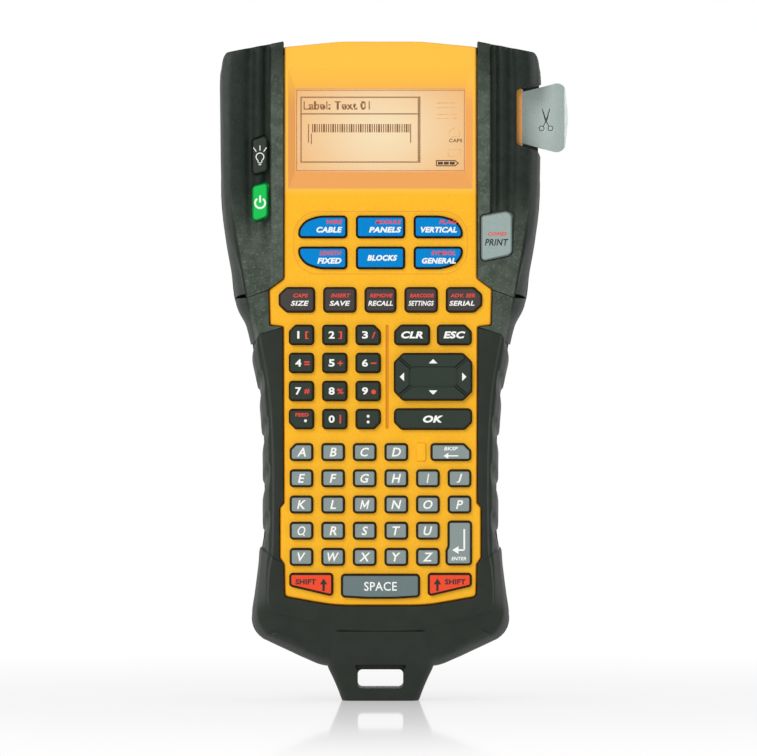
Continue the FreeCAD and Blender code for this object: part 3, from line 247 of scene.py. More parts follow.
class Surface:
    """A new material and its nodes. A value is a node's output, a number or a colour."""

    def __init__(self, name):
        self.material = bpy.data.materials.new(name)
        self.material.use_nodes = True
        self.tree = self.material.node_tree
        self.shader = self.tree.nodes["Principled BSDF"]
        places = self.tree.nodes.new("ShaderNodeTexCoord")
        self.place, self.normal = places.outputs["Object"], places.outputs["Normal"]

    def give(self, socket, value):
        """Links an output to a socket, or sets the socket's own value."""
        if isinstance(value, bpy.types.NodeSocket):
            self.tree.links.new(value, socket)
        else:
            socket.default_value = value

    def node(self, kind, **values):
        """A shader node, with its properties and its input sockets set by name."""
        made = self.tree.nodes.new(kind)
        for name, value in values.items():
            if name in made.inputs:
                self.give(made.inputs[name], value)
            else:
                setattr(made, name, value)
        return made

    def set(self, **values):
        """Values for the shader's own sockets, by name, with _ in place of a space."""
        for name, value in values.items():
            self.give(self.shader.inputs[name.replace("_", " ")], value)

    def shown(self, output):
        """Makes a shader's output the material's surface."""
        self.give(self.tree.nodes["Material Output"].inputs["Surface"], output)

    def spread(self, source, from_low, from_high, to_low=0.0, to_high=1.0):
        """A value carried from one range to another, softly."""
        made = self.node("ShaderNodeMapRange", interpolation_type="SMOOTHSTEP", Value=source)
        ends = {"From Min": from_low, "From Max": from_high, "To Min": to_low, "To Max": to_high}
        for name, value in ends.items():
            made.inputs[name].default_value = value
        return made.outputs["Result"]

    def between(self, cloud, low=0.0, high=1.0):
        """A noise's values spread from low to high."""
        return self.spread(cloud, 0.3, 0.7, low, high)

    def noise(self, size_mm, detail=3.0, place=None):
        """A cloud of grains about size_mm across."""
        scale, place = 1.0 / (size_mm * MM), place or self.place
        made = self.node("ShaderNodeTexNoise", Scale=scale, Detail=detail, Vector=place)
        return made.outputs["Fac"]

    def mixed(self, factor, first, second):
        """Two colours mixed by a factor."""
        made = self.node("ShaderNodeMix", data_type="RGBA", Factor=factor)
        self.give(made.inputs[6], first)
        self.give(made.inputs[7], second)
        return made.outputs[2]

    def blend(self, factor, first, second):
        """Two shader nodes mixed by a factor."""
        made = self.node("ShaderNodeMixShader", Fac=factor)
        self.give(made.inputs[1], first.outputs[0])
        self.give(made.inputs[2], second.outputs[0])
        return made

    def maths(self, operation, *values):
        made = self.node("ShaderNodeMath", operation=operation)
        for socket, value in zip(made.inputs, values):
            self.give(socket, value)
        return made.outputs[0]

    def axes(self, source):
        """X, Y and Z of a vector, as outputs by name."""
        return self.node("ShaderNodeSeparateXYZ", Vector=source).outputs

    def bump(self, height, depth_mm, strength):
        made = self.node("ShaderNodeBump", Strength=strength, Distance=depth_mm * MM, Height=height)
        self.set(Normal=made.outputs["Normal"])
        return made

    def grain(self, size_mm, depth_mm, strength, coarse=None):
        """Bumps of a given size and depth, over coarser ones where coarse gives their (size, depth)."""
        under = coarse and self.bump(self.noise(coarse[0], 2.0), coarse[1], strength)
        over = self.bump(self.noise(size_mm, 4.0), depth_mm, strength)
        if under:
            self.give(over.inputs["Normal"], under.outputs["Normal"])


def moulded(
    name, colour, rough, size_mm=0.3, depth_mm=0.02, vary=0.10, specular=0.4, coarse=None, strength=0.5
):
    """Moulded plastic or rubber: a fine grain, with slightly uneven colour and gloss."""
    made = Surface(name)
    fine = made.noise(size_mm * 1.6)
    tone = made.mixed(made.between(made.noise(6.0, 4.0)), shade(colour, 1 - vary), shade(colour, 1 + vary))
    tone = made.mixed(made.spread(fine, 0.35, 0.7, 0, 0.35), tone, shade(colour, 1 + 3 * vary))
    gloss = made.between(fine, rough - 0.06, rough + 0.06)
    made.set(Base_Color=tone, Roughness=gloss, Specular_IOR_Level=specular)
    made.grain(size_mm, depth_mm, strength, coarse)
    return made.material


DARK_RIM = srgb(34, 31, 25)


def key_plastic(name, colour, rim=DARK_RIM, specular=0.18):
    """A key cap: coloured on the face that looks forward, and in the rim's colour round it."""
    made = Surface(name)
    top = made.spread(made.axes(made.normal)["Y"], -0.88, -0.97)
    fine = made.noise(0.5)
    tone = made.mixed(made.between(fine), shade(colour, 0.94), shade(colour, 1.05))
    gloss = made.between(fine, 0.45, 0.55)
    made.set(Base_Color=made.mixed(top, rim, tone), Roughness=gloss, Specular_IOR_Level=specular)
    made.grain(0.25, 0.006, 0.4)
    return made.material


def rail_rubber():
    """The rails' rubber: a paler, mottled band beside the cover and a paler lower face, dark elsewhere."""
    made = Surface("rail_rubber")
    where = made.axes(made.place)
    aside = made.maths("ABSOLUTE", where["X"])
    band = made.spread(where["Z"], 226 * MM, 206 * MM, 0.25, 1)
    band = made.maths("MULTIPLY", band, made.spread(aside, 38.9 * MM, 38.1 * MM))
    reach = made.maths("MULTIPLY_ADD", where["Z"], -0.175, aside)
    lower = made.spread(where["Z"], 181 * MM, 156 * MM, 0, 0.75)
    lower = made.maths("MULTIPLY", lower, made.spread(reach, 21.9 * MM, 21.2 * MM))
    pale = made.maths("MAXIMUM", band, lower)
    cloud = made.between(made.noise(3.5, 4.0))
    fine = made.noise(0.7, 4.0)
    dark = made.mixed(cloud, srgb(22, 30, 24), srgb(29, 38, 31))
    light = made.mixed(cloud, srgb(62, 72, 62), srgb(80, 90, 79))
    fleck = made.maths("MULTIPLY", made.spread(fine, 0.52, 0.72, 0.0, 0.5), made.spread(pale, 0, 1, 0.12, 1))
    tone = made.mixed(fleck, made.mixed(pale, dark, light), srgb(112, 126, 114))
    made.set(Base_Color=tone, Roughness=made.between(fine, 0.46, 0.6), Specular_IOR_Level=0.2)
    made.grain(0.42, 0.05, 0.6, (1.6, 0.05))
    return made.material


def metal(name, colour, rough):
    """Metal with fine drawn lines."""
    made = Surface(name)
    stretch = made.node("ShaderNodeMapping", Scale=(1, 1, 14), Vector=made.place)
    lines = made.noise(1.2, 4.0, stretch.outputs["Vector"])
    tone = made.mixed(made.between(lines), shade(colour, 0.85), shade(colour, 1.1))
    made.set(Base_Color=tone, Roughness=made.between(lines, rough - 0.08, rough + 0.08), Metallic=1.0)
    made.bump(lines, 0.01, 0.25)
    return made.material


def cover_plastic():
    """The yellow cover, with painted light and shade: a paler top as a painted highlight, painted amber shade
    in the recess round the display, painted orange shade in its groove and painted dark shade in its
    openings.
    """
    made = Surface("yellow_cover")
    where = made.axes(made.place)
    depth, height = where["Y"], where["Z"]
    fine = made.noise(0.5)
    yellow = made.mixed(made.between(fine), srgb(247, 178, 24), srgb(252, 186, 34))
    # Above the step the yellow is paler: a painted highlight on the upper part.
    upper = made.spread(height, 176.5 * MM, 178.5 * MM)
    tone = made.mixed(upper, yellow, srgb(249, 188, 62))
    # Faces set back from the front: below the step they get painted orange shade, as in the divider groove.
    slope = made.spread(depth, (COVER_FRONT + 0.02) * MM, (COVER_FRONT + 0.08) * MM)
    below = made.maths("MULTIPLY", slope, made.maths("SUBTRACT", 1.0, upper))
    tone = made.mixed(below, tone, srgb(226, 146, 26))
    # Above the step, the set-back faces round the display get painted amber shade, weaker towards the top.
    display_recess_shade = made.maths("MULTIPLY", slope, upper)
    display_recess_shade = made.maths("MULTIPLY", display_recess_shade, made.spread(height, 220 * MM, 206 * MM, 0.08))
    tone = made.mixed(display_recess_shade, tone, srgb(233, 160, 84))
    # Faces more than half a millimetre behind the front that don't look forward, as in the openings, are
    # painted dark as shade; lit marks where they are not.
    level = made.spread(made.axes(made.normal)["Y"], -0.30, -0.60)
    face = made.spread(depth, (COVER_FRONT + 0.75) * MM, (COVER_FRONT + 0.5) * MM)
    top = made.spread(height, 228.5 * MM, 229.5 * MM)
    lit = made.maths("MAXIMUM", made.maths("MAXIMUM", level, face), top)
    tone = made.mixed(lit, srgb(60, 46, 22), tone)
    made.set(Base_Color=tone, Roughness=made.between(fine, 0.44, 0.56), Specular_IOR_Level=0.2)
    made.grain(0.35, 0.012, 0.4)
    return made.material


def backlit(made, tone):
    """Makes a surface glow in its own colour and return little of the room's light."""
    made.set(Emission_Color=tone, Emission_Strength=0.95, Base_Color=srgb(58, 40, 24))
    made.set(Roughness=0.6, Specular_IOR_Level=0.1)


def display_panel():
    """The lit amber panel: brightest in its middle, with a faint uneven mottle."""
    made = Surface("lit_panel")
    low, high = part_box("lcd_panel")
    middle = (low + high) / 2
    wide, tall = 24, 34
    moved = (-middle.x * wide, 0, -middle.z * tall)
    shift = made.node("ShaderNodeMapping", Location=moved, Scale=(wide, 0, tall), Vector=made.place)
    glow = made.node("ShaderNodeTexGradient", gradient_type="SPHERICAL", Vector=shift.outputs["Vector"])
    tone = made.mixed(made.spread(glow.outputs["Fac"], 0, 1), srgb(243, 188, 122), srgb(250, 230, 192))
    backlit(made, made.mixed(made.between(made.noise(0.4, 2.0), 0, 0.12), tone, srgb(238, 186, 122)))
    return made.material


def display_ink(name, colour):
    """A mark on the display, a little uneven."""
    made = Surface(name)
    backlit(made, made.mixed(made.between(made.noise(0.9, 2.0)), shade(colour, 0.85), shade(colour, 1.15)))
    made.grain(0.2, 0.002, 0.3)
    return made.material


def clear_window():
    made = Surface("clear_window")
    smudge = made.between(made.noise(9.0), 0.01, 0.04)
    made.set(Base_Color=(1.0, 0.985, 0.95, 1.0), Transmission_Weight=1.0, IOR=1.3, Roughness=smudge)
    return made.material


# What each kind of material takes after its name; the colour comes first.
MOULDED = {
    "dark_rubber": (srgb(30, 36, 29), 0.52, 0.42, 0.05, 0.13, 0.26, (1.6, 0.05), 0.6),
    "dark_plastic": (srgb(38, 43, 38), 0.5, 0.35, 0.04, 0.12, 0.3, (2.0, 0.03), 0.6),
    "lever_grey": (srgb(172, 186, 182), 0.27, 1.2, 0.002, 0.015, 0.6, (9.0, 0.03), 0.3),
    "silicone": (srgb(90, 92, 92), 0.65),
    "circuit_board": (srgb(28, 92, 58), 0.35, 0.5, 0.01, 0.15, 0.5),
    "cell_wrap": (srgb(58, 62, 70), 0.3, 1.0, 0.005, 0.05, 0.5),
    "gear_white": (srgb(226, 224, 214), 0.42, 0.4, 0.01, 0.03),
    "platen_rubber": (srgb(34, 34, 36), 0.7, 0.25, 0.03, 0.12),
    "cassette_plastic": (srgb(206, 208, 204), 0.45, 0.4, 0.01, 0.03),
}
KEYS = {
    "key_blue": (srgb(0, 130, 204), DARK_RIM, 0.05),
    "key_brown": (srgb(66, 60, 58),),
    "key_dark_green": (srgb(43, 54, 46),),
    "key_grey": (srgb(134, 147, 145),),
    "key_red": (srgb(236, 72, 40),),
    "key_light_grey": (srgb(104, 120, 121),),
    "key_green": (srgb(0, 190, 78), srgb(0, 128, 54)),
}
METALS = {
    "nickel": (srgb(196, 194, 186), 0.28),
    "steel": (srgb(158, 160, 162), 0.34),
    "aluminium": (srgb(184, 186, 188), 0.36),
}
MATERIALS = {"yellow_plastic": cover_plastic(), "window": clear_window(), "display": display_panel()}
for kind, values in ((moulded, MOULDED), (key_plastic, KEYS), (metal, METALS)):
    MATERIALS.update({name: kind(name, *value) for name, value in values.items()})
INKS = {
    "white": moulded("ink_white", srgb(240, 240, 236), 0.55, 0.15, 0.004, 0.02),
    "red": moulded("ink_red", srgb(226, 62, 52), 0.55, 0.15, 0.004, 0.04),
    "dark": moulded("ink_dark", srgb(30, 30, 27), 0.55, 0.15, 0.004, 0.05),
}
PRINT_GREY = key_plastic("print_button_grey", srgb(150, 166, 163), srgb(112, 126, 122))
RAIL_RUBBER = rail_rubber()
SLOTS = {part["node"]: part["material_slot"] for part in frame["record"]["subparts"]}


def paint_nodes():
    """Each CAD node gets the material of its slot in the record."""
    for name, obj in frame["nodes"].items():
        material = PRINT_GREY if name == "print_button" else MATERIALS[SLOTS[name]]
        if not obj.material_slots:
            obj.data.materials.append(material)
        for slot in obj.material_slots:
            slot.material = material


paint_nodes()


# --- outlines of the body ----------------------------------------------------------------------------------


def cover_outline(growth):
    """The yellow cover's outline as a loop of points, moved outwards by growth."""
    half = COVER_HALF + growth
    right = [
        (half - 0.3, 37.0 - growth, 1.6),
        (half - 0.1, 48.2, 0.6),
        (half + 1.4, 50.4, 0.6),
        (half + 1.4, 68.0, 0.6),
        (half, 69.6, 0.6),
        (half + 0.2, 130.9, 0.4),
        (half + 4.9, 131.5 - growth, 0.8),
        (half + 5.2, 144.0, 1.2),
        (half, 147.8, 1.2),
        (half - 0.2, 228.4 + growth, 0.5),
    ]
    left = [(-x, z, radius) for x, z, radius in reversed(right)]
    top = [(14.0, 230.3 + growth, 60), (-14.0, 230.3 + growth, 60)]
    return rounded_path(right + top + left + [(-16, 33.9 - growth, 60), (16, 33.9 - growth, 60)], 10)


def dense(loop, gap=0.2):
    """The loop with points no further apart than gap."""
    points = []
    for a, b in zip(loop, np.roll(loop, -1, axis=0)):
        steps = max(1, int(np.linalg.norm(b - a) / gap))
        points += [a + (b - a) * k / steps for k in range(steps)]
    return np.array(points)


COVER_EDGE = dense(cover_outline(SEAM))


def hug(x, z):
    """The point of the cover's edge that is nearest."""
    return COVER_EDGE[np.argmin(np.hypot(COVER_EDGE[:, 0] - x, COVER_EDGE[:, 1] - z))]


# height, half width at the silhouette, and half width at the crease where the flat front ends
SIDES = [
    (222.7, 55.5, 51.2), (217.5, 56.2, 51.8), (210.0, 56.2, 52.1), (202.0, 56.1, 52.2), (186.0, 55.9, 52.0),
    (174.0, 55.4, 51.6),
    (161.5, 54.2, 50.8), (149.0, 52.0, 48.4), (141.0, 50.8, 46.6), (137.0, 50.0, 45.4), (132.4, 46.9, 43.4),
    (127.0, 45.3, 41.7), (120.0, 44.4, 40.2), (112.0, 42.9, 38.9), (98.0, 41.5, 37.9), (85.0, 40.9, 37.4),
    (70.0, 40.8, 37.3), (57.0, 41.1, 37.5), (46.0, 42.7, 38.6), (37.0, 44.0, 39.1),
]


def knuckles(points):
    """Finger grooves in the grip's sides. Each has a sharp upper edge that slants up towards the front."""
    upper_edges = (129.0, 112.8, 96.7, 80.1, 63.6)
    length, depth = 9.5, 1.0
    moved = []
    for x, y, z in points:
        level = z + 0.42 * (y + 15.0)
        below = [edge - level for edge in upper_edges]
        groove = sum(smooth(b, 0.0, 1.6) * smooth(b, length, 3.0) for b in below)
        side = smooth(y, RAIL_FRONT + 1.4, RAIL_FRONT + 3.4)
        moved.append((x - math.copysign(depth * side * groove, x), y, z))
    return moved


def section(knots, steps=4):
    """A section of a shell: a rounded path through knots, each (x, y, z, radius), as a list of points."""
    points = []
    for i, knot in enumerate(knots):
        here, radius = np.array(knot[:3], dtype=float), knot[3]
        if radius <= 0:
            points.append(here)
            continue
        before = np.array(knots[i - 1][:3]) - here
        after = np.array(knots[(i + 1) % len(knots)][:3]) - here
        reach_before = min(radius, 0.48 * np.linalg.norm(before))
        reach_after = min(radius, 0.48 * np.linalg.norm(after))
        start = here + before / (np.linalg.norm(before) + 1e-9) * reach_before
        end = here + after / (np.linalg.norm(after) + 1e-9) * reach_after
        for k in range(steps + 1):
            t = k / steps
            points.append((1 - t) ** 2 * start + 2 * t * (1 - t) * here + t * t * end)
    return points


# --- rails -------------------------------------------------------------------------------------------------


def rail_section(height, lower_slope):
    """A rail's section at a height of its inner edge, seen on the right-hand side."""
    upper = smooth(height, 150.0, 172.0)
    band = smooth(height, 158.0, 170.0)
    top = smooth(height, 203.0, 230.2)
    slope = 0.192 * top + lower_slope
    inner_x = np.interp(height, [144.0, 147.8], [COVER_HALF + 5.2 + SEAM, COVER_HALF + SEAM])
    drop = 7.5 * top + 2.8 * smooth(height, 155.0, 143.8)
    outer_z = height - drop
    crease = along(SIDES, outer_z, 2)
    outer = along(SIDES, outer_z, 1)
    front = RAIL_FRONT
    groove, valley = front + 0.15 + 1.7 * band, front + 0.12 + 1.3 * band

    def at(x, depth, radius):
        x = max(x, inner_x + 0.5)
        return (x, depth, height - slope * (x - inner_x), radius)

    pinch = (crease - 52.2) * 0.9
    knots = [
        (inner_x, -22.4, height, 0.0),
        (inner_x, front - 0.05, height, 0.35),
        at(38.0 + 0.1 * pinch, front - 0.05, 0.25),
        at(38.7 + 0.1 * pinch, groove, 0.4),
        at(40.2 + 0.2 * pinch, groove, 0.6),
        at(41.7 + 0.3 * pinch, front + 0.1, 1.2),
        at(43.3 + 0.5 * pinch, front + 0.1, 1.2),
        at(45.0 + 0.6 * pinch, valley, 0.9),
        at(46.2 + 0.7 * pinch, valley, 0.9),
        at(47.9 + 0.8 * pinch, front + 0.2 * upper, 1.0),
        at(crease - 0.4 * upper, front + 0.2 * upper, 1.5 * upper + 0.4),
        (crease + 0.3 + 0.5 * (outer - crease) * upper, front + 1.2 + 1.8 * upper, outer_z + 0.5 * drop, 1.2),
        (outer - 0.7 - 0.6 * (1 - upper), front + 6.0, outer_z + 0.3 * drop, 3.5),
        (outer, front + 12.5, outer_z, 3.0),
        (outer, SPLIT, outer_z, 0.0),
        (crease - 2.0, SPLIT, outer_z + 0.62 * drop * upper, 0.0),
        (inner_x, SPLIT, height, 0.0),
    ]
    return section(knots)


def rail(side):
    """The dark rail beside the display: -1 for the left one and 1 for the right one."""
    heights = [*np.linspace(143.9, 149.0, 14), *np.linspace(151.0, 202.0, 24), *np.linspace(204.0, 230.0, 16)]
    sections = [rail_section(height, 0.37 * smooth(height, 152.0, 144.0)) for height in heights]
    last = sections[-1]
    for depth, rise in ((0.12, 0.16), (0.45, 0.3), (1.2, 0.36)):
        sections.append([(x, min(y + depth, SPLIT), z + rise) for x, y, z in last])
    sections.append([(x, SPLIT, z) for x, y, z in sections[-1]])
    return [[(side * x, y, z) for x, y, z in points] for points in sections]


def button_cutters(names, margin):
    """What makes room in a rail for its buttons."""
    made = []
    for name in names:
        outline = hull_outline(name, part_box(name)[0].y / MM + 1.5)
        made.append(prism(name + "_room", inset(outline, -margin), -40.0, -14.0))
    return made


def pocket_outline():
    """The outline of the lever's pocket."""
    lower = [(47.4, 194.5, 1.2), (54.8, 192.2, 0.8), (57.4, 188.0, 0), (75, 188.0, 0)]
    upper = [(75, 220.6, 0), (56.5, 215.9, 1.0), (47.4, 213.5, 1.2)]
    return rounded_path(lower + upper, 6)


def hub_cutter():
    """Room for the lever's hub in the pocket's wall."""
    turns = np.linspace(0, 2 * math.pi, 32, False)
    outline = [(46.5 + 3.8 * math.cos(a), -9.0 + 3.8 * math.sin(a)) for a in turns]
    return loft("hub_room", [[(x, y, z) for x, y in outline] for z in (189.0, 222.7)])


def arm_cutter():
    """Room behind the rail for the lever's arm that carries the blade."""
    outline = [(32.0, -13.0), (46.0, -13.0), (46.0, -6.0), (32.0, -6.0)]
    return loft("arm_room", [[(x, y, z) for x, y in outline] for z in (218.0, 221.4)])


def grip_panel(side):
    """The separate panel between a rail and the boot, where the head narrows to the grip."""
    x = COVER_HALF + SEAM
    stations = [
        # inner edge, crease and silhouette, each (x, z)
        ((x + 5.2, 143.6), (46.7, 140.85), (50.9, 140.85)),
        ((x + 5.1, 140.0), (46.1, 138.6), (50.4, 138.3)),
        ((x + 5.0, 136.5), (45.2, 136.0), (49.4, 135.8)),
        ((x + 4.9, 132.6), (44.1, 133.2), (47.4, 132.2)),
        ((x + 4.2, 131.25), (43.3, 131.4), (46.5, 129.4)),
        ((x + 2.2, 131.0), (42.7, 129.9), (45.9, 127.0)),
        ((x + 0.5, 130.75), (42.1, 128.5), (45.4, 124.8)),
    ]
    rows = flowing([[c for point in station for c in point] for station in stations], 4)
    sections = []
    for inner_x, inner_z, crease_x, crease_z, outer_x, outer_z in rows:
        inner_x, inner_z = hug(inner_x, inner_z)
        knots = [
            (inner_x, -22.4, inner_z, 0.0),
            (inner_x, RAIL_FRONT + 0.05, inner_z, 0.35),
            (crease_x, RAIL_FRONT + 0.15, crease_z, 1.1),
            (outer_x - 1.2, RAIL_FRONT + 6.0, outer_z, 4.0),
            (outer_x, RAIL_FRONT + 12.5, outer_z, 3.0),
            (outer_x, SPLIT, outer_z, 0.0),
            (inner_x, SPLIT, inner_z, 0.0),
        ]
        sections.append([(side * px, py, pz) for px, py, pz in section(knots)])
    return sections


def head_top():
    """The wall over the head, between the rails, that closes it behind the cover."""
    sections = []
    for x in np.linspace(-COVER_HALF - 0.2, COVER_HALF + 0.2, 33):
        z = 230.15 - 0.0011 * x * x
        front, back = -22.6, SPLIT
        knots = [(x, front, z - 3.4, 0.0), (x, front, z - 0.7, 0.3)]
        knots += [(x, back, z, 0.2), (x, back, z - 2.5, 0.0)]
        sections.append(section(knots))
    return loft("head_top_wall", sections)


def make_rails():
    finish_piece(head_top(), MATERIALS["dark_rubber"], HOUSING, 40)
    for side, name in ((-1, "left_rail"), (1, "right_rail")):
        piece = loft(name + "_skin", rail(side))
        if side < 0:
            cut_away(piece, button_cutters(["backlight_button", "power_button"], 0.45))
        else:
            pocket = prism("pocket_room", pocket_outline(), -45.0, 6.0)
            cut_away(piece, button_cutters(["print_button"], 0.45) + [pocket, hub_cutter(), arm_cutter()])
        finish_piece(piece, RAIL_RUBBER, HOUSING, 40)
        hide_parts(name)
        panel = loft(name.replace("rail", "grip_panel"), grip_panel(side))
        finish_piece(panel, RAIL_RUBBER, HOUSING, 40)


# --- boot --------------------------------------------------------------------------------------------------

# Stations round the right half of the boot: inner edge, crease and silhouette as (x, z), then the depth
# behind the front at two places between crease and silhouette, each (share of the way, depth), and at the
# silhouette.
BOOT_STATIONS = [
    ((33.8, 130.5), (42.0, 128.3), (45.3, 124.6), (0.40, 1.7), (0.82, 7.0), 13.0),
    ((33.8, 121.0), (40.3, 119.8), (44.9, 119.0), (0.40, 1.7), (0.82, 7.0), 13.0),
    ((33.8, 110.0), (38.7, 109.8), (43.1, 110.0), (0.40, 1.7), (0.82, 7.0), 13.0),
    ((33.8, 98.0), (37.7, 98.0), (41.9, 98.0), (0.40, 1.7), (0.82, 7.0), 13.0),
    ((33.8, 85.0), (37.2, 85.0), (41.3, 85.0), (0.40, 1.7), (0.82, 7.0), 13.0),
    ((34.6, 69.0), (37.1, 70.0), (41.3, 70.0), (0.40, 1.7), (0.82, 7.0), 13.0),
    ((35.2, 57.0), (37.3, 57.0), (41.2, 57.0), (0.40, 1.7), (0.82, 7.0), 13.0),
    ((34.2, 49.6), (37.6, 51.2), (41.2, 54.6), (0.38, 1.7), (0.82, 6.8), 12.6),
    ((33.8, 48.4), (37.8, 50.2), (42.3, 53.2), (0.34, 1.8), (0.81, 6.4), 12.2),
    ((33.8, 46.0), (38.6, 46.0), (42.8, 47.5), (0.28, 1.8), (0.80, 6.0), 11.5),
    ((33.5, 40.0), (39.1, 38.0), (44.0, 38.0), (0.16, 1.5), (0.74, 4.8), 10.5),
    ((33.2, 37.0), (38.6, 33.6), (44.9, 31.5), (0.11, 1.5), (0.74, 4.4), 10.0),
    ((31.5, 36.2), (36.4, 31.6), (44.3, 26.6), (0.09, 1.5), (0.76, 4.6), 10.0),
    ((28.0, 35.4), (32.5, 30.4), (41.8, 22.6), (0.08, 1.4), (0.80, 5.0), 10.5),
    ((24.0, 34.8), (28.2, 29.3), (38.9, 20.9), (0.08, 1.3), (0.82, 5.6), 11.0),
    ((18.0, 34.2), (22.5, 28.2), (32.6, 17.9), (0.07, 1.0), (0.82, 6.4), 12.0),
    ((13.0, 33.6), (17.5, 27.4), (26.4, 15.0), (0.07, 0.6), (0.84, 7.6), 13.0),
    ((9.0, 33.2), (12.0, 26.8), (19.4, 12.4), (0.07, 0.3), (0.84, 9.0), 14.0),
    ((4.5, 33.0), (6.0, 26.5), (9.5, 12.3), (0.07, 0.2), (0.84, 9.5), 14.0),
    ((0.0, 33.0), (0.0, 26.4), (0.0, 12.3), (0.07, 0.2), (0.84, 9.5), 14.0),
]
PADS = [((36.8, 24.9), (24.8, 21.4), (25.9, 15.3), (38.9, 21.5))]


def pad_height(x, z):
    """How far a raised pad on the boot's slanting foot stands proud at a place."""
    raised = 0.0
    for corners in PADS:
        corners = np.array(corners)
        edges = np.roll(corners, -1, axis=0) - corners
        outward = np.stack([edges[:, 1], -edges[:, 0]], axis=1)
        outward /= np.linalg.norm(outward, axis=1, keepdims=True)
        if np.sum(outward[0] * (corners[2] - corners[0])) > 0:
            outward = -outward
        outside = np.max(np.sum(outward * (np.array((abs(x), z)) - corners), axis=1))
        raised = max(raised, 0.85 * float(smooth(-outside, -0.1, 0.4)))
    return raised


def boot_sections():
    rows = [[*a, *b, *c, *near, *far, edge] for a, b, c, near, far, edge in BOOT_STATIONS]
    rows = flowing(rows, 16)
    half = []
    for row in rows:
        inner = np.array(hug(*row[0:2])) if row[0] > 0.05 else np.array((0.0, hug(0.0, 33.0)[1]))
        crease, outer = row[2:4], row[4:6]
        first = crease + (outer - crease) * row[6]
        second = crease + (outer - crease) * row[8]
        shares = (0.2, 0.4, 0.6, 0.8)
        between = [first + (second - first) * share for share in shares]
        depths = [row[7] + (row[9] - row[7]) * share for share in shares]
        sunk = 0.4 * smooth(crease[1], 50.4, 51.0)
        valley = crease + (first - crease) * 0.35
        knots = [
            (inner[0], -22.4, inner[1], 0.0),
            (inner[0], RAIL_FRONT + 0.05 + sunk, inner[1], 0.35),
            (crease[0], RAIL_FRONT + 0.1 + sunk, crease[1], 0.5),
            (valley[0], RAIL_FRONT + 0.1 + sunk + 0.72 * row[7], valley[1], 0.3),
            (first[0], RAIL_FRONT + row[7] + sunk, first[1], 0.4),
        ]
        knots += [(p[0], RAIL_FRONT + d - pad_height(*p), p[1], 0.0) for p, d in zip(between, depths)]
        knots += [
            (second[0], RAIL_FRONT + row[9], second[1], 2.4),
            (outer[0], RAIL_FRONT + row[10], outer[1], 2.0),
            (outer[0], SPLIT, outer[1], 0.0),
            (inner[0], SPLIT, inner[1], 0.0),
        ]
        half.append(knuckles(section(knots, 5)))
    mirrored = [[(-x, y, z) for x, y, z in points] for points in half[-2::-1]]
    return half + mirrored


def strap_tab():
    """The tab that the device stands on: a wedge out of the boot, with its slot and a recess above it."""
    levels = [
        # height, half width, front and back depth
        (0.0, 13.0, -10.6, TAB_BACK - 0.6), (0.5, 13.6, -11.2, TAB_BACK), (4.0, 14.9, -12.0, TAB_BACK),
        (8.0, 16.6, -13.2, TAB_BACK), (12.0, 18.4, -15.4, TAB_BACK), (15.0, 18.9, -17.9, TAB_BACK),
        (18.0, 18.4, -20.5, TAB_BACK - 1), (21.0, 17.6, -23.0, 8.0), (24.8, 16.6, -25.7, 6.0),
    ]
    sections = []
    for z, half, front, back in flowing(levels, 4):
        corners = [(-half, front, 3.0), (half, front, 3.0), (half, back, 1.6), (-half, back, 1.6)]
        sections.append([(x, y, z) for x, y in rounded_path(corners, 6)])
    tab = loft("strap_tab", sections)
    slot = prism("slot_room", rounded_rectangle((0, 7.7), 16.0, 6.8, 1.6), -40.0, 40.0)
    lip = [(-7.6, 10.2, 0.5), (7.6, 10.2, 0.5), (9.6, 12.9, 0.7), (-9.6, 12.9, 0.7)]
    recess = prism("recess_room", rounded_path(lip), -40.0, -12.4)
    cut_away(tab, [slot, recess])
    return tab


def make_boot():
    boot = loft("lower_boot_skin", boot_sections())
    finish_piece(boot, MATERIALS["dark_rubber"], HOUSING, 38)
    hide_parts("lower_boot")
    finish_piece(strap_tab(), MATERIALS["dark_rubber"], HOUSING, 38)


# --- legends and icons -------------------------------------------------------------------------------------

INK_THICKNESS = 0.04


def flat_text(words, italic=True, bold=0.03):
    """The outline mesh of some words as (points, faces), in a box whose height is 1 for a capital."""
    curve = bpy.data.curves.new("words", "FONT")
    curve.body = words
    curve.resolution_u = 3
    curve.shear = 0.22 if italic else 0.0
    curve.offset = bold
    curve.space_character = 1.06
    obj = add_object("words", curve)
    bpy.context.view_layer.update()
    mesh = bpy.data.meshes.new_from_object(obj.evaluated_get(bpy.context.evaluated_depsgraph_get()))
    points = np.array([v.co[:2] for v in mesh.vertices])
    faces = [tuple(p.vertices) for p in mesh.polygons]
    bpy.data.objects.remove(obj)
    bpy.data.meshes.remove(mesh)
    return points, faces


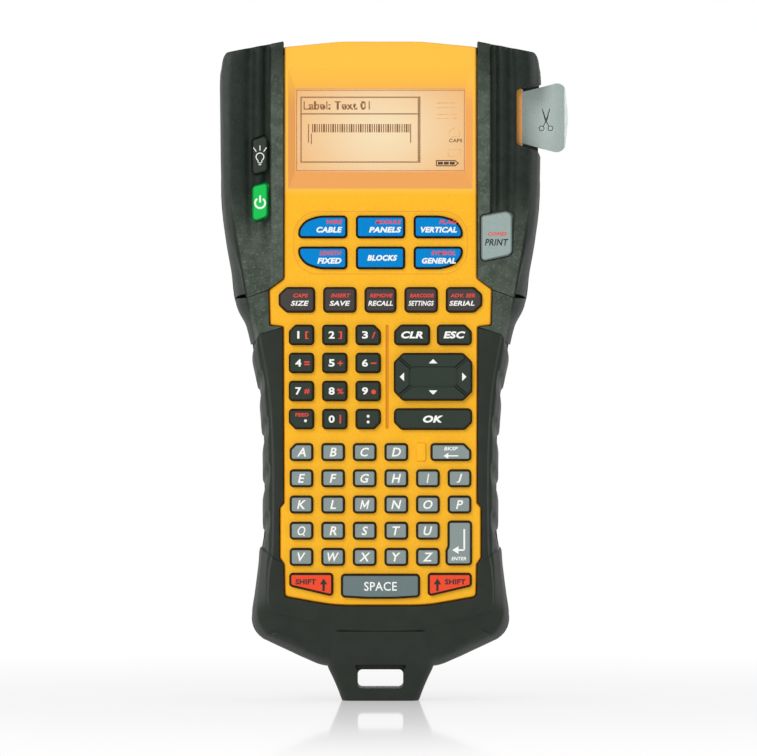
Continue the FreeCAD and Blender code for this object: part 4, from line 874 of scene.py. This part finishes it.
class Ink:
    """Flat shapes in X and Z that become one printed piece on a body."""

    def __init__(self):
        self.points, self.faces = [], []

    def polygon(self, outline):
        start = len(self.points)
        self.points += [tuple(point) for point in outline]
        self.faces.append(tuple(range(start, start + len(outline))))

    def words(self, text, centre, height, width=None, italic=True, bold=0.03):
        points, faces = flat_text(text, italic, bold)
        low, high = points.min(axis=0), points.max(axis=0)
        scale = height / (high[1] - low[1])
        wide = width / (high[0] - low[0]) if width else scale
        middle = (low + high) / 2
        start = len(self.points)
        self.points += [tuple(centre + (point - middle) * (wide, scale)) for point in points]
        self.faces += [tuple(i + start for i in face) for face in faces]

    def drawn_letter(self, letter, centre, height, width, weight=0.17, slant=0.22):
        """A slanted M or Q from its own outline. The built-in ones lose their shape when made heavier."""
        w = weight
        if letter == "M":
            left = [(w, 0), (0, 0), (0, 1), (w, 1), (0.5, 0.4)]
            shapes = [left + [(1 - x, z) for x, z in left[-2::-1]] + [(1 - w, 0.62), (0.5, 0.1), (w, 0.62)]]
        else:
            turns = np.radians(np.linspace(0, 360, 25))
            shapes = [[(0.78, 0.08), (0.92, -0.08), (1.06, -0.02), (0.9, 0.16)]]
            thin, low = 0.5 - w, 0.5 - w * width / height
            for a, b in zip(turns, turns[1:]):
                corners = [(0.5, 0.5, a), (thin, low, a), (thin, low, b), (0.5, 0.5, b)]
                shapes.append([(0.5 + r * math.cos(t), 0.5 + s * math.sin(t)) for r, s, t in corners])
        for shape in shapes:
            placed = [((x - 0.5) * width + slant * (z - 0.5) * height, (z - 0.5) * height) for x, z in shape]
            self.polygon([(centre[0] + x, centre[1] + z) for x, z in placed])

    def stroke(self, route, width):
        """A line of some width through points, as one box for each run."""
        for a, b in zip(route, route[1:]):
            a, b = np.array(a, dtype=float), np.array(b, dtype=float)
            run = (b - a) / np.linalg.norm(b - a)
            across = np.array((-run[1], run[0])) * width / 2
            a, b = a - run * width / 2, b + run * width / 2
            self.polygon([a - across, b - across, b + across, a + across])

    def ring(self, centre, radius, width, start=0.0, end=360.0, steps=28):
        angles = np.radians(np.linspace(start, end, steps + 1))
        inner, outer = radius - width / 2, radius + width / 2
        for a, b in zip(angles, angles[1:]):
            corners = [(inner, a), (outer, a), (outer, b), (inner, b)]
            self.polygon([(centre[0] + r * math.cos(t), centre[1] + r * math.sin(t)) for r, t in corners])

    def arrow(self, tail, tip, width, head):
        """A straight arrow with a triangular head."""
        tail, tip = np.array(tail, dtype=float), np.array(tip, dtype=float)
        run = (tip - tail) / np.linalg.norm(tip - tail)
        across = np.array((-run[1], run[0]))
        neck = tip - run * head
        side = across * width / 2
        self.polygon([tail - side, neck - side, neck + side, tail + side])
        self.polygon([neck - across * head * 0.62, tip, neck + across * head * 0.62])

    def piece(self, name, depth, material, body, slot, drape=None):
        """The shapes as a thin solid whose face is just ahead of a depth, or of a node's surface."""
        made = bmesh.new()
        for layer in (0, 1):
            verts = []
            for x, z in self.points:
                y = drape(x, z) if drape else depth
                verts.append(made.verts.new((x * MM, (y - INK_THICKNESS * (1 - layer) + 0.01) * MM, z * MM)))
            for face in self.faces:
                if len(set(face)) > 2:
                    made.faces.new([verts[i] for i in (face if layer else reversed(face))])
        made.verts.ensure_lookup_table()
        made.verts.index_update()
        half = len(self.points)
        rims = [e for e in made.edges if e.is_boundary and max(v.index for v in e.verts) < half]
        for edge in rims:
            a, b = (v.index for v in edge.verts)
            made.faces.new([made.verts[i] for i in (a, b, b + half, a + half)])
        bmesh.ops.recalc_face_normals(made, faces=made.faces)
        mesh = bpy.data.meshes.new(name)
        made.to_mesh(mesh)
        made.free()
        obj = add_object(name, mesh)
        mesh.materials.append(material)
        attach(obj, body)
        return obj


LEGENDS = {}


def ink(node, colour):
    """The ink of a colour on a node's keys."""
    return LEGENDS.setdefault((node, colour), Ink())


def centre_of(node):
    low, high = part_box(node)
    middle = (low + high) / 2 / MM
    return middle.x, middle.z


def hot_and_function_legends():
    hot = [
        ("CABLE", "WIRE", 9.0, 5.6), ("PANELS", "MODULE", 11.2, 9.0), ("VERTICAL", "FLAG", 12.6, 6.2),
        ("FIXED", "LENGTH", 8.4, 7.6), ("BLOCKS", "", 10.4, 0), ("GENERAL", "SYMBOL", 11.8, 8.6),
    ]
    shifts = (2.3, 1.6, 0.2, 2.3, 0.6, 0.2)
    for i, ((main, small, wide, narrow), shift) in enumerate(zip(hot, shifts), 1):
        x, z = centre_of(f"hot_key_{i}")
        right = x + shift + wide / 2
        ink(f"hot_key_{i}", "white").words(main, (x + shift, z - 1.0 if small else z), 2.0, wide, bold=0.045)
        if small:
            ink(f"hot_key_{i}", "red").words(small, (right - narrow / 2, z + 1.7), 1.45, narrow)
    function = [
        ("SIZE", "CAPS", 6.3, 5.2), ("SAVE", "INSERT", 7.2, 6.8), ("RECALL", "REMOVE", 8.6, 8.0),
        ("SETTINGS", "BARCODE", 8.8, 8.4), ("SERIAL", "ADV. SER", 8.8, 8.6),
    ]
    for i, (main, small, wide, narrow) in enumerate(function, 1):
        x, z = centre_of(f"function_key_{i}")
        x += {1: 1.0, 5: -0.8}.get(i, 0.0)
        ink(f"function_key_{i}", "white").words(main, (x, z - 1.2), 1.75, wide)
        ink(f"function_key_{i}", "red").words(small, (x + 0.3, z + 1.5), 1.35, narrow)


def number_legends():
    symbols = [
        # digit, symbol, and the symbol's height and width
        ("1", "[", 2.6, 1.2), ("2", "]", 2.6, 1.2), ("3", "/", 2.2, 1.3),
        ("4", "=", 1.3, 1.9), ("5", "+", 1.7, 1.9), ("6", "-", 0.45, 2.0),
        ("7", "#", 1.9, 1.9), ("8", "%", 1.9, 2.2), ("9", "", 0.0, 0.0),
    ]
    left, low = -27.5, 98.8
    for i, (digit, symbol, tall, wide) in enumerate(symbols):
        x, z = left + 11.6 * (i % 3), low + 9.77 * (3 - i // 3)
        node = f"number_keys_column_{i % 3 + 1}"
        ink(node, "white").words(digit, (x - 1.1, z), 2.6, 2.1 if digit != "1" else 0.75, italic=False)
        if symbol:
            ink(node, "red").words(symbol, (x + 1.9, z - 0.1), tall, wide, italic=False, bold=0.02)
        else:
            ink(node, "red").polygon(rounded_rectangle((x + 1.9, z - 0.3), 1.6, 1.6, 0.8))
    ink("number_keys_column_1", "red").words("FEED", (left + 0.2, low + 1.5), 1.2, 4.6, italic=False)
    ink("number_keys_column_1", "white").polygon(rounded_rectangle((left + 1.4, low - 0.6), 1.0, 1.0, 0.5))
    ink("number_keys_column_2", "white").words("0", (left + 11.6 - 1.1, low), 2.6, 2.1, italic=False)
    ink("number_keys_column_2", "red").words("|", (left + 11.6 + 1.9, low), 3.0, 0.5, italic=False)
    for rise in (-1.0, 1.0):
        dot = rounded_rectangle((left + 23.2, low + rise), 1.0, 1.0, 0.5)
        ink("number_keys_column_3", "white").polygon(dot)


def letter_legends():
    for i, letters in enumerate(("ABCD", "EFGHIJ", "KLMNOP", "QRSTU", "VWXYZ")):
        for column, letter in enumerate(letters):
            place = ((column - 2.5) * 11.0, 50.8 + (4 - i) * 9.13)
            width = {"I": 0.9, "W": 4.0, "J": 2.0}.get(letter)
            white = ink(f"letter_keys_row_{i + 1}", "white")
            if letter in "MQ":
                white.drawn_letter(letter, place, 3.1, 2.7)
            else:
                white.words(letter, place, 3.1, width, bold=0.018)


def wide_key_legends():
    for node, words, width in (("clear_key", "CLR", 7.6), ("escape_key", "ESC", 7.6), ("ok_key", "OK", 7.0)):
        ink(node, "white").words(words, centre_of(node), 2.5, width, bold=0.045)
    middle = (0.0, centre_of("space_key")[1])
    ink("space_key", "white").words("SPACE", middle, 3.1, 11.4, italic=False, bold=0.01)
    x, z = centre_of("backspace_key")
    ink("backspace_key", "white").words("BKSP", (x, z + 1.2), 1.25, 4.8)
    ink("backspace_key", "white").arrow((x + 2.6, z - 1.3), (x - 2.6, z - 1.3), 0.45, 1.7)
    x, z = centre_of("enter_key")
    enter = ink("enter_key", "white")
    enter.stroke([(x + 1.9, z + 4.6), (x + 1.9, z - 2.1)], 0.6)
    enter.arrow((x + 1.9, z - 2.4), (x - 2.3, z - 2.4), 0.6, 2.2)
    enter.words("ENTER", (x, z - 5.4), 1.2, 5.2)
    for side, node in ((-1, "left_shift_key"), (1, "right_shift_key")):
        x, z = centre_of(node)
        dark = ink(node, "dark")
        dark.words("SHIFT", (x + side * 1.9, z + 0.9), 1.9, 7.2, italic=False, bold=0.04)
        dark.arrow((x - side * 4.3, z - 2.3), (x - side * 4.3, z + 2.1), 0.85, 2.1)
    x, z = centre_of("print_button")
    ink("print_button", "dark").words("PRINT", (x, z - 2.2), 2.3, 8.2, bold=0.02)
    ink("print_button", "red").words("COPIES", (x + 0.3, z + 0.7), 1.2, 6.6)
    x, z = centre_of("nav_pad")
    for dx, dz in ((0, 1), (0, -1), (1, 0), (-1, 0)):
        tip = np.array((x + dx * 11.6, z + dz * 6.2))
        base = tip - np.array((dx, dz)) * 1.5
        across = np.array((dz, dx)) * 1.5
        ink("nav_pad", "white").polygon([base - across, tip, base + across])


def button_icons():
    x, z = centre_of("power_button")
    power = ink("power_button", "white")
    power.ring((x, z - 0.4), 1.75, 0.62, 125, 415)
    power.stroke([(x, z + 0.1), (x, z + 1.9)], 0.62)
    x, z = centre_of("backlight_button")
    bulb = ink("backlight_button", "white")
    bulb.ring((x, z - 0.6), 1.35, 0.3, -60, 240)
    bulb.stroke([(x - 0.65, z - 2.0), (x - 0.65, z - 2.7), (x + 0.65, z - 2.7), (x + 0.65, z - 2.0)], 0.28)
    bulb.stroke([(x - 0.3, z - 3.3), (x + 0.3, z - 3.3)], 0.28)
    for angle in (55, 90, 125):
        run = np.array((math.cos(math.radians(angle)), math.sin(math.radians(angle))))
        start = np.array((x, z - 0.6)) + run * 2.4
        bulb.stroke([start, start + run * 1.4], 0.3)


def make_legends():
    hot_and_function_legends()
    number_legends()
    letter_legends()
    wide_key_legends()
    button_icons()
    bodies = {node: body for body, nodes in frame["record"]["behaviour"]["bodies"].items() for node in nodes}
    for (node, colour), shapes in LEGENDS.items():
        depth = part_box(node)[0].y / MM
        drape = nav_face if node == "nav_pad" else None
        shapes.piece(f"{node}_legend_{colour}", depth, INKS[colour], bodies[node], SLOTS[node], drape)


def surface_of(node):
    """A function that finds how deep a node's face lies at a place."""
    made = bmesh.new()
    made.from_mesh(frame["nodes"][node].data)
    tree = BVHTree.FromBMesh(made)
    made.free()
    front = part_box(node)[0].y

    def depth(x, z):
        hit = tree.ray_cast(Vector((x * MM, front - 0.01, z * MM)), Vector((0, 1, 0)))[0]
        return (hit.y if hit else front) / MM

    return depth


nav_face = surface_of("nav_pad")


# --- display -----------------------------------------------------------------------------------------------


def pixel_words(shapes, words, left, low, dot, rows):
    """Words as square dots, from the built-in letters sampled on a grid."""
    points, faces = flat_text(words, italic=False, bold=0.02)
    bottom, top = points[:, 1].min(), points[:, 1].max()
    points = (points - (points[:, 0].min(), bottom)) * rows * dot / (top - bottom)
    columns = int(points[:, 0].max() / dot) + 1
    for column in range(columns):
        for row in range(rows):
            here = np.array(((column + 0.5) * dot, (row + 0.5) * dot))
            if any(inside(points[list(face)], here) for face in faces):
                place = (left + here[0], low + here[1])
                shapes.polygon(rounded_rectangle(place, dot, dot, 0.02, 1))


def inside(polygon, point):
    """True where a polygon goes round a point."""
    within = False
    for (ax, az), (bx, bz) in zip(polygon, np.roll(polygon, -1, axis=0)):
        if (az > point[1]) != (bz > point[1]) and point[0] < (bx - ax) * (point[1] - az) / (bz - az) + ax:
            within = not within
    return within


def dotted(shapes, start, end, dot=0.46, gap=0.56):
    """A row of square dots from start to end."""
    start, end = np.array(start, dtype=float), np.array(end, dtype=float)
    count = int(np.linalg.norm(end - start) / gap)
    for i in range(count + 1):
        shapes.polygon(rounded_rectangle(tuple(start + (end - start) * i / count), dot, dot, 0.02, 1))


def make_display():
    """The marks on the display: a framed title over a bar code, a battery, and faint unlit marks."""
    pixels = Ink()
    left, right, low, high, title = -27.7, 13.2, 188.4, 211.0, 205.2
    bottom_left, bottom_right, top_right, top_left = (left, low), (right, low), (right, high), (left, high)
    loop = (bottom_left, bottom_right, top_right, top_left, bottom_left)
    for start, end in (*zip(loop, loop[1:]), ((left, title), (right, title))):
        dotted(pixels, start, end)
    dotted(pixels, (right + 0.5, low), (right + 0.5, high))
    pixel_words(pixels, "Label: Text 01", left + 0.9, title + 1.5, 0.36, 8)
    bars, pitch = 43, 0.8
    for i in range(bars):
        width = 0.62 if i % 4 == 1 else 0.36
        pixels.polygon(rounded_rectangle((-23.7 + i * pitch, 200.2), width, 2.9, 0.02, 1))
    for x, top, bottom in ((-25.1, 201.5, 195.3), (-24.1, 198.2, 194.8), (10.5, 201.5, 195.3)):
        pixels.stroke([(x, top), (x, bottom)], 0.32)
    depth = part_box("lcd_panel")[0].y / MM
    battery = Ink()
    battery.words("CAPS", (26.2, 195.9), 1.25, 4.6, italic=False, bold=0.02)
    case = [(19.5, 187.1), (26.0, 187.1), (27.1, 188.0), (26.0, 188.9), (19.5, 188.9), (19.5, 187.1)]
    battery.stroke(case, 0.34)
    for i in range(3):
        battery.polygon(rounded_rectangle((20.9 + 2.05 * i, 188.0), 1.75, 1.0, 0.05, 1))
    faint = Ink()
    house = [(24.0, 197.2), (24.0, 199.0), (25.8, 200.4), (27.6, 199.0), (27.6, 197.2), (24.0, 197.2)]
    faint.stroke(house, 0.3)
    faint.stroke([(23.6, 190.4), (27.8, 190.4), (27.8, 192.8), (23.6, 192.8), (23.6, 190.4)], 0.25)
    for z in (209.0, 207.4, 205.0, 203.6):
        faint.stroke([(19.6, z), (26.6, z)], 0.35)
    edge = Ink()
    x, low, high = 29.25, 185.35, 213.45
    edge.stroke([(-x, low), (x, low), (x, high), (-x, high), (-x, low)], 0.3)
    for name, shapes, ink_name, colour in (
        ("display_pixels", pixels, "display_ink", srgb(128, 74, 26)),
        ("display_battery_mark", battery, "display_dark", srgb(58, 30, 16)),
        ("display_unlit_marks", faint, "display_ghost", srgb(238, 186, 124)),
        ("display_border", edge, "display_edge", srgb(206, 118, 52)),
    ):
        shapes.piece(name, depth, display_ink(ink_name, colour), HOUSING, "display")


# --- small pieces on the cover and the lever ---------------------------------------------------------------


def make_cover_trim():
    outline = rounded_rectangle((14.1, 87.3), 3.5, 6.4, 0.9)
    bar = prism("cover_bar", outline, COVER_FRONT - 0.55, COVER_FRONT + 0.3, 0.4)
    finish_piece(bar, MATERIALS["yellow_plastic"], HOUSING)
    ring = Ink()
    outer = rounded_rectangle((0.0, 160.2), 60.6, 22.0, 8.5, 12)
    inner = inset(outer, 0.22)
    for a, b, c, d in zip(outer, np.roll(outer, -1, axis=0), np.roll(inner, -1, axis=0), inner):
        ring.polygon([a, b, c, d])
    line = moulded("cover_line", srgb(226, 150, 24), 0.5, 0.2, 0.004, 0.04)
    ring.piece("hot_key_line", COVER_FRONT, line, HOUSING, "yellow_plastic")


lever_face = surface_of("cutter_lever")


def make_lever_trim():
    """The scissors engraved on the lever, drawn flat: a dark copy as painted shade in the engraving, over a
    pale copy shifted down and to the right as a painted highlight on its edges.
    """
    x, z = 57.9, 202.8
    # Painted shade in the engraved scissors, and a painted highlight beside it.
    marks = (("scissors_painted_shade", srgb(52, 66, 62), 0.0), ("scissors_painted_highlight", srgb(206, 218, 214), 0.2))
    for name, colour, shift in marks:
        mark = Ink()
        for side in (-1, 1):
            blade = [(-0.5, -0.5), (0.3, -0.3), (1.45, 4.2), (1.25, 4.6)]
            mark.polygon([(x + side * dx + shift, z + dz - shift) for dx, dz in blade])
            mark.stroke([(x + shift, z - shift), (x + side * 0.9 + shift, z - 1.6 - shift)], 0.34)
            mark.ring((x + side * 1.55 + shift, z - 2.5 - shift), 0.85, 0.32, 0, 360, 18)
        material = moulded(name, colour, 0.4, 0.2, 0.004, 0.05)
        depth = INK_THICKNESS * 0.5 if shift else 0.0
        mark.piece(name, depth, material, "cutter_lever", "lever_grey", lambda x, z: lever_face(x, z) + depth)


make_rails()
make_boot()
make_legends()
make_display()
make_cover_trim()
make_lever_trim()


# --- stage, light and camera -------------------------------------------------------------------------------


def make_floor():
    """A pale, polished floor that turns into a plain white surround away from the device."""
    disc = bmesh.new()
    bmesh.ops.create_circle(disc, cap_ends=True, segments=96, radius=6.0)
    mesh = bpy.data.meshes.new("floor")
    disc.to_mesh(mesh)
    disc.free()
    made = Surface("floor_white")
    made.set(Base_Color=made.mixed(made.noise(60.0, 2.0), srgb(250, 250, 250), srgb(254, 254, 254)))
    made.set(Roughness=0.9, Specular_IOR_Level=0.0)
    away = made.node("ShaderNodeVectorMath", operation="LENGTH", Vector=made.place).outputs["Value"]
    white = made.node("ShaderNodeEmission")
    gloss = made.node("ShaderNodeBsdfGlossy", Roughness=0.045)
    fresnel = made.node("ShaderNodeFresnel", IOR=1.3)
    polish = made.maths("MULTIPLY", fresnel.outputs[0], made.spread(away, 0.0, 0.48, 0.62, 0.0))
    matt = made.blend(made.spread(away, 0.0, 0.1, 0.72, 1), made.shader, white)
    made.shown(made.blend(polish, matt, gloss).outputs[0])
    mesh.materials.append(made.material)
    add_object("floor", mesh)

def make_surround():
    """A low white wall far away, seen only in reflections, so that the polished floor reflects white."""
    radius, height, sides = 4.0, 0.8, 48
    rim = [(radius * math.cos(a), radius * math.sin(a)) for a in np.linspace(0, 2 * math.pi, sides, False)]
    mesh = bpy.data.meshes.new("surround")
    faces = [(i, (i + 1) % sides, sides + (i + 1) % sides, sides + i) for i in range(sides)]
    mesh.from_pydata([(x, y, z) for z in (0.0, height) for x, y in rim], [], faces)
    made = Surface("surround_white")
    made.shown(made.node("ShaderNodeEmission").outputs[0])
    mesh.materials.append(made.material)
    wall = add_object("surround", mesh)
    wall.visible_camera = wall.visible_diffuse = wall.visible_shadow = False

def area_light(name, place, target, size, watts):
    data = bpy.data.lights.new(name, "AREA")
    data.size, data.energy = size, watts
    lamp = add_object(name, data)
    lamp.location = place
    lamp.rotation_euler = (Vector(target) - Vector(place)).to_track_quat("-Z", "Y").to_euler()


def make_studio():
    middle = (0.0, 0.0, 0.12)
    area_light("key_light", (-0.8, -1.7, 1.3), middle, 1.1, 26.5)
    area_light("left_strip", (-1.3, 0.15, 0.45), middle, 0.5, 7.0)
    area_light("right_strip", (1.3, 0.15, 0.45), middle, 0.5, 6.0)
    area_light("back_light", (0.3, 1.6, 1.0), middle, 0.9, 8.0)
    world = bpy.data.worlds.new("studio")
    world.use_nodes = True
    nodes, links = world.node_tree.nodes, world.node_tree.links
    light, view = nodes["Background"], nodes.new("ShaderNodeBackground")
    seen, mix = nodes.new("ShaderNodeLightPath"), nodes.new("ShaderNodeMixShader")
    light.inputs["Color"].default_value = view.inputs["Color"].default_value = (1, 1, 1, 1)
    light.inputs["Strength"].default_value = 0.38
    links.new(seen.outputs["Is Camera Ray"], mix.inputs["Fac"])
    links.new(light.outputs[0], mix.inputs[1])
    links.new(view.outputs[0], mix.inputs[2])
    links.new(mix.outputs[0], nodes["World Output"].inputs["Surface"])
    bpy.context.scene.world = world
    bpy.context.scene.view_settings.view_transform = "Standard"


def make_camera():
    """A long lens straight ahead, level with the middle of the picture."""
    distance, frame_width, sensor = 2.5, 0.2635, 36.0
    data = bpy.data.cameras.new("camera")
    data.sensor_width = sensor
    data.lens = sensor * distance / frame_width
    data.dof.use_dof = False
    camera = add_object("camera", data)
    camera.location = (-0.0007, RAIL_FRONT * MM - distance, 0.1131)
    camera.rotation_euler = (math.radians(90), 0, 0)
    bpy.context.scene.camera = camera


make_floor()
make_surround()
make_studio()
make_camera()
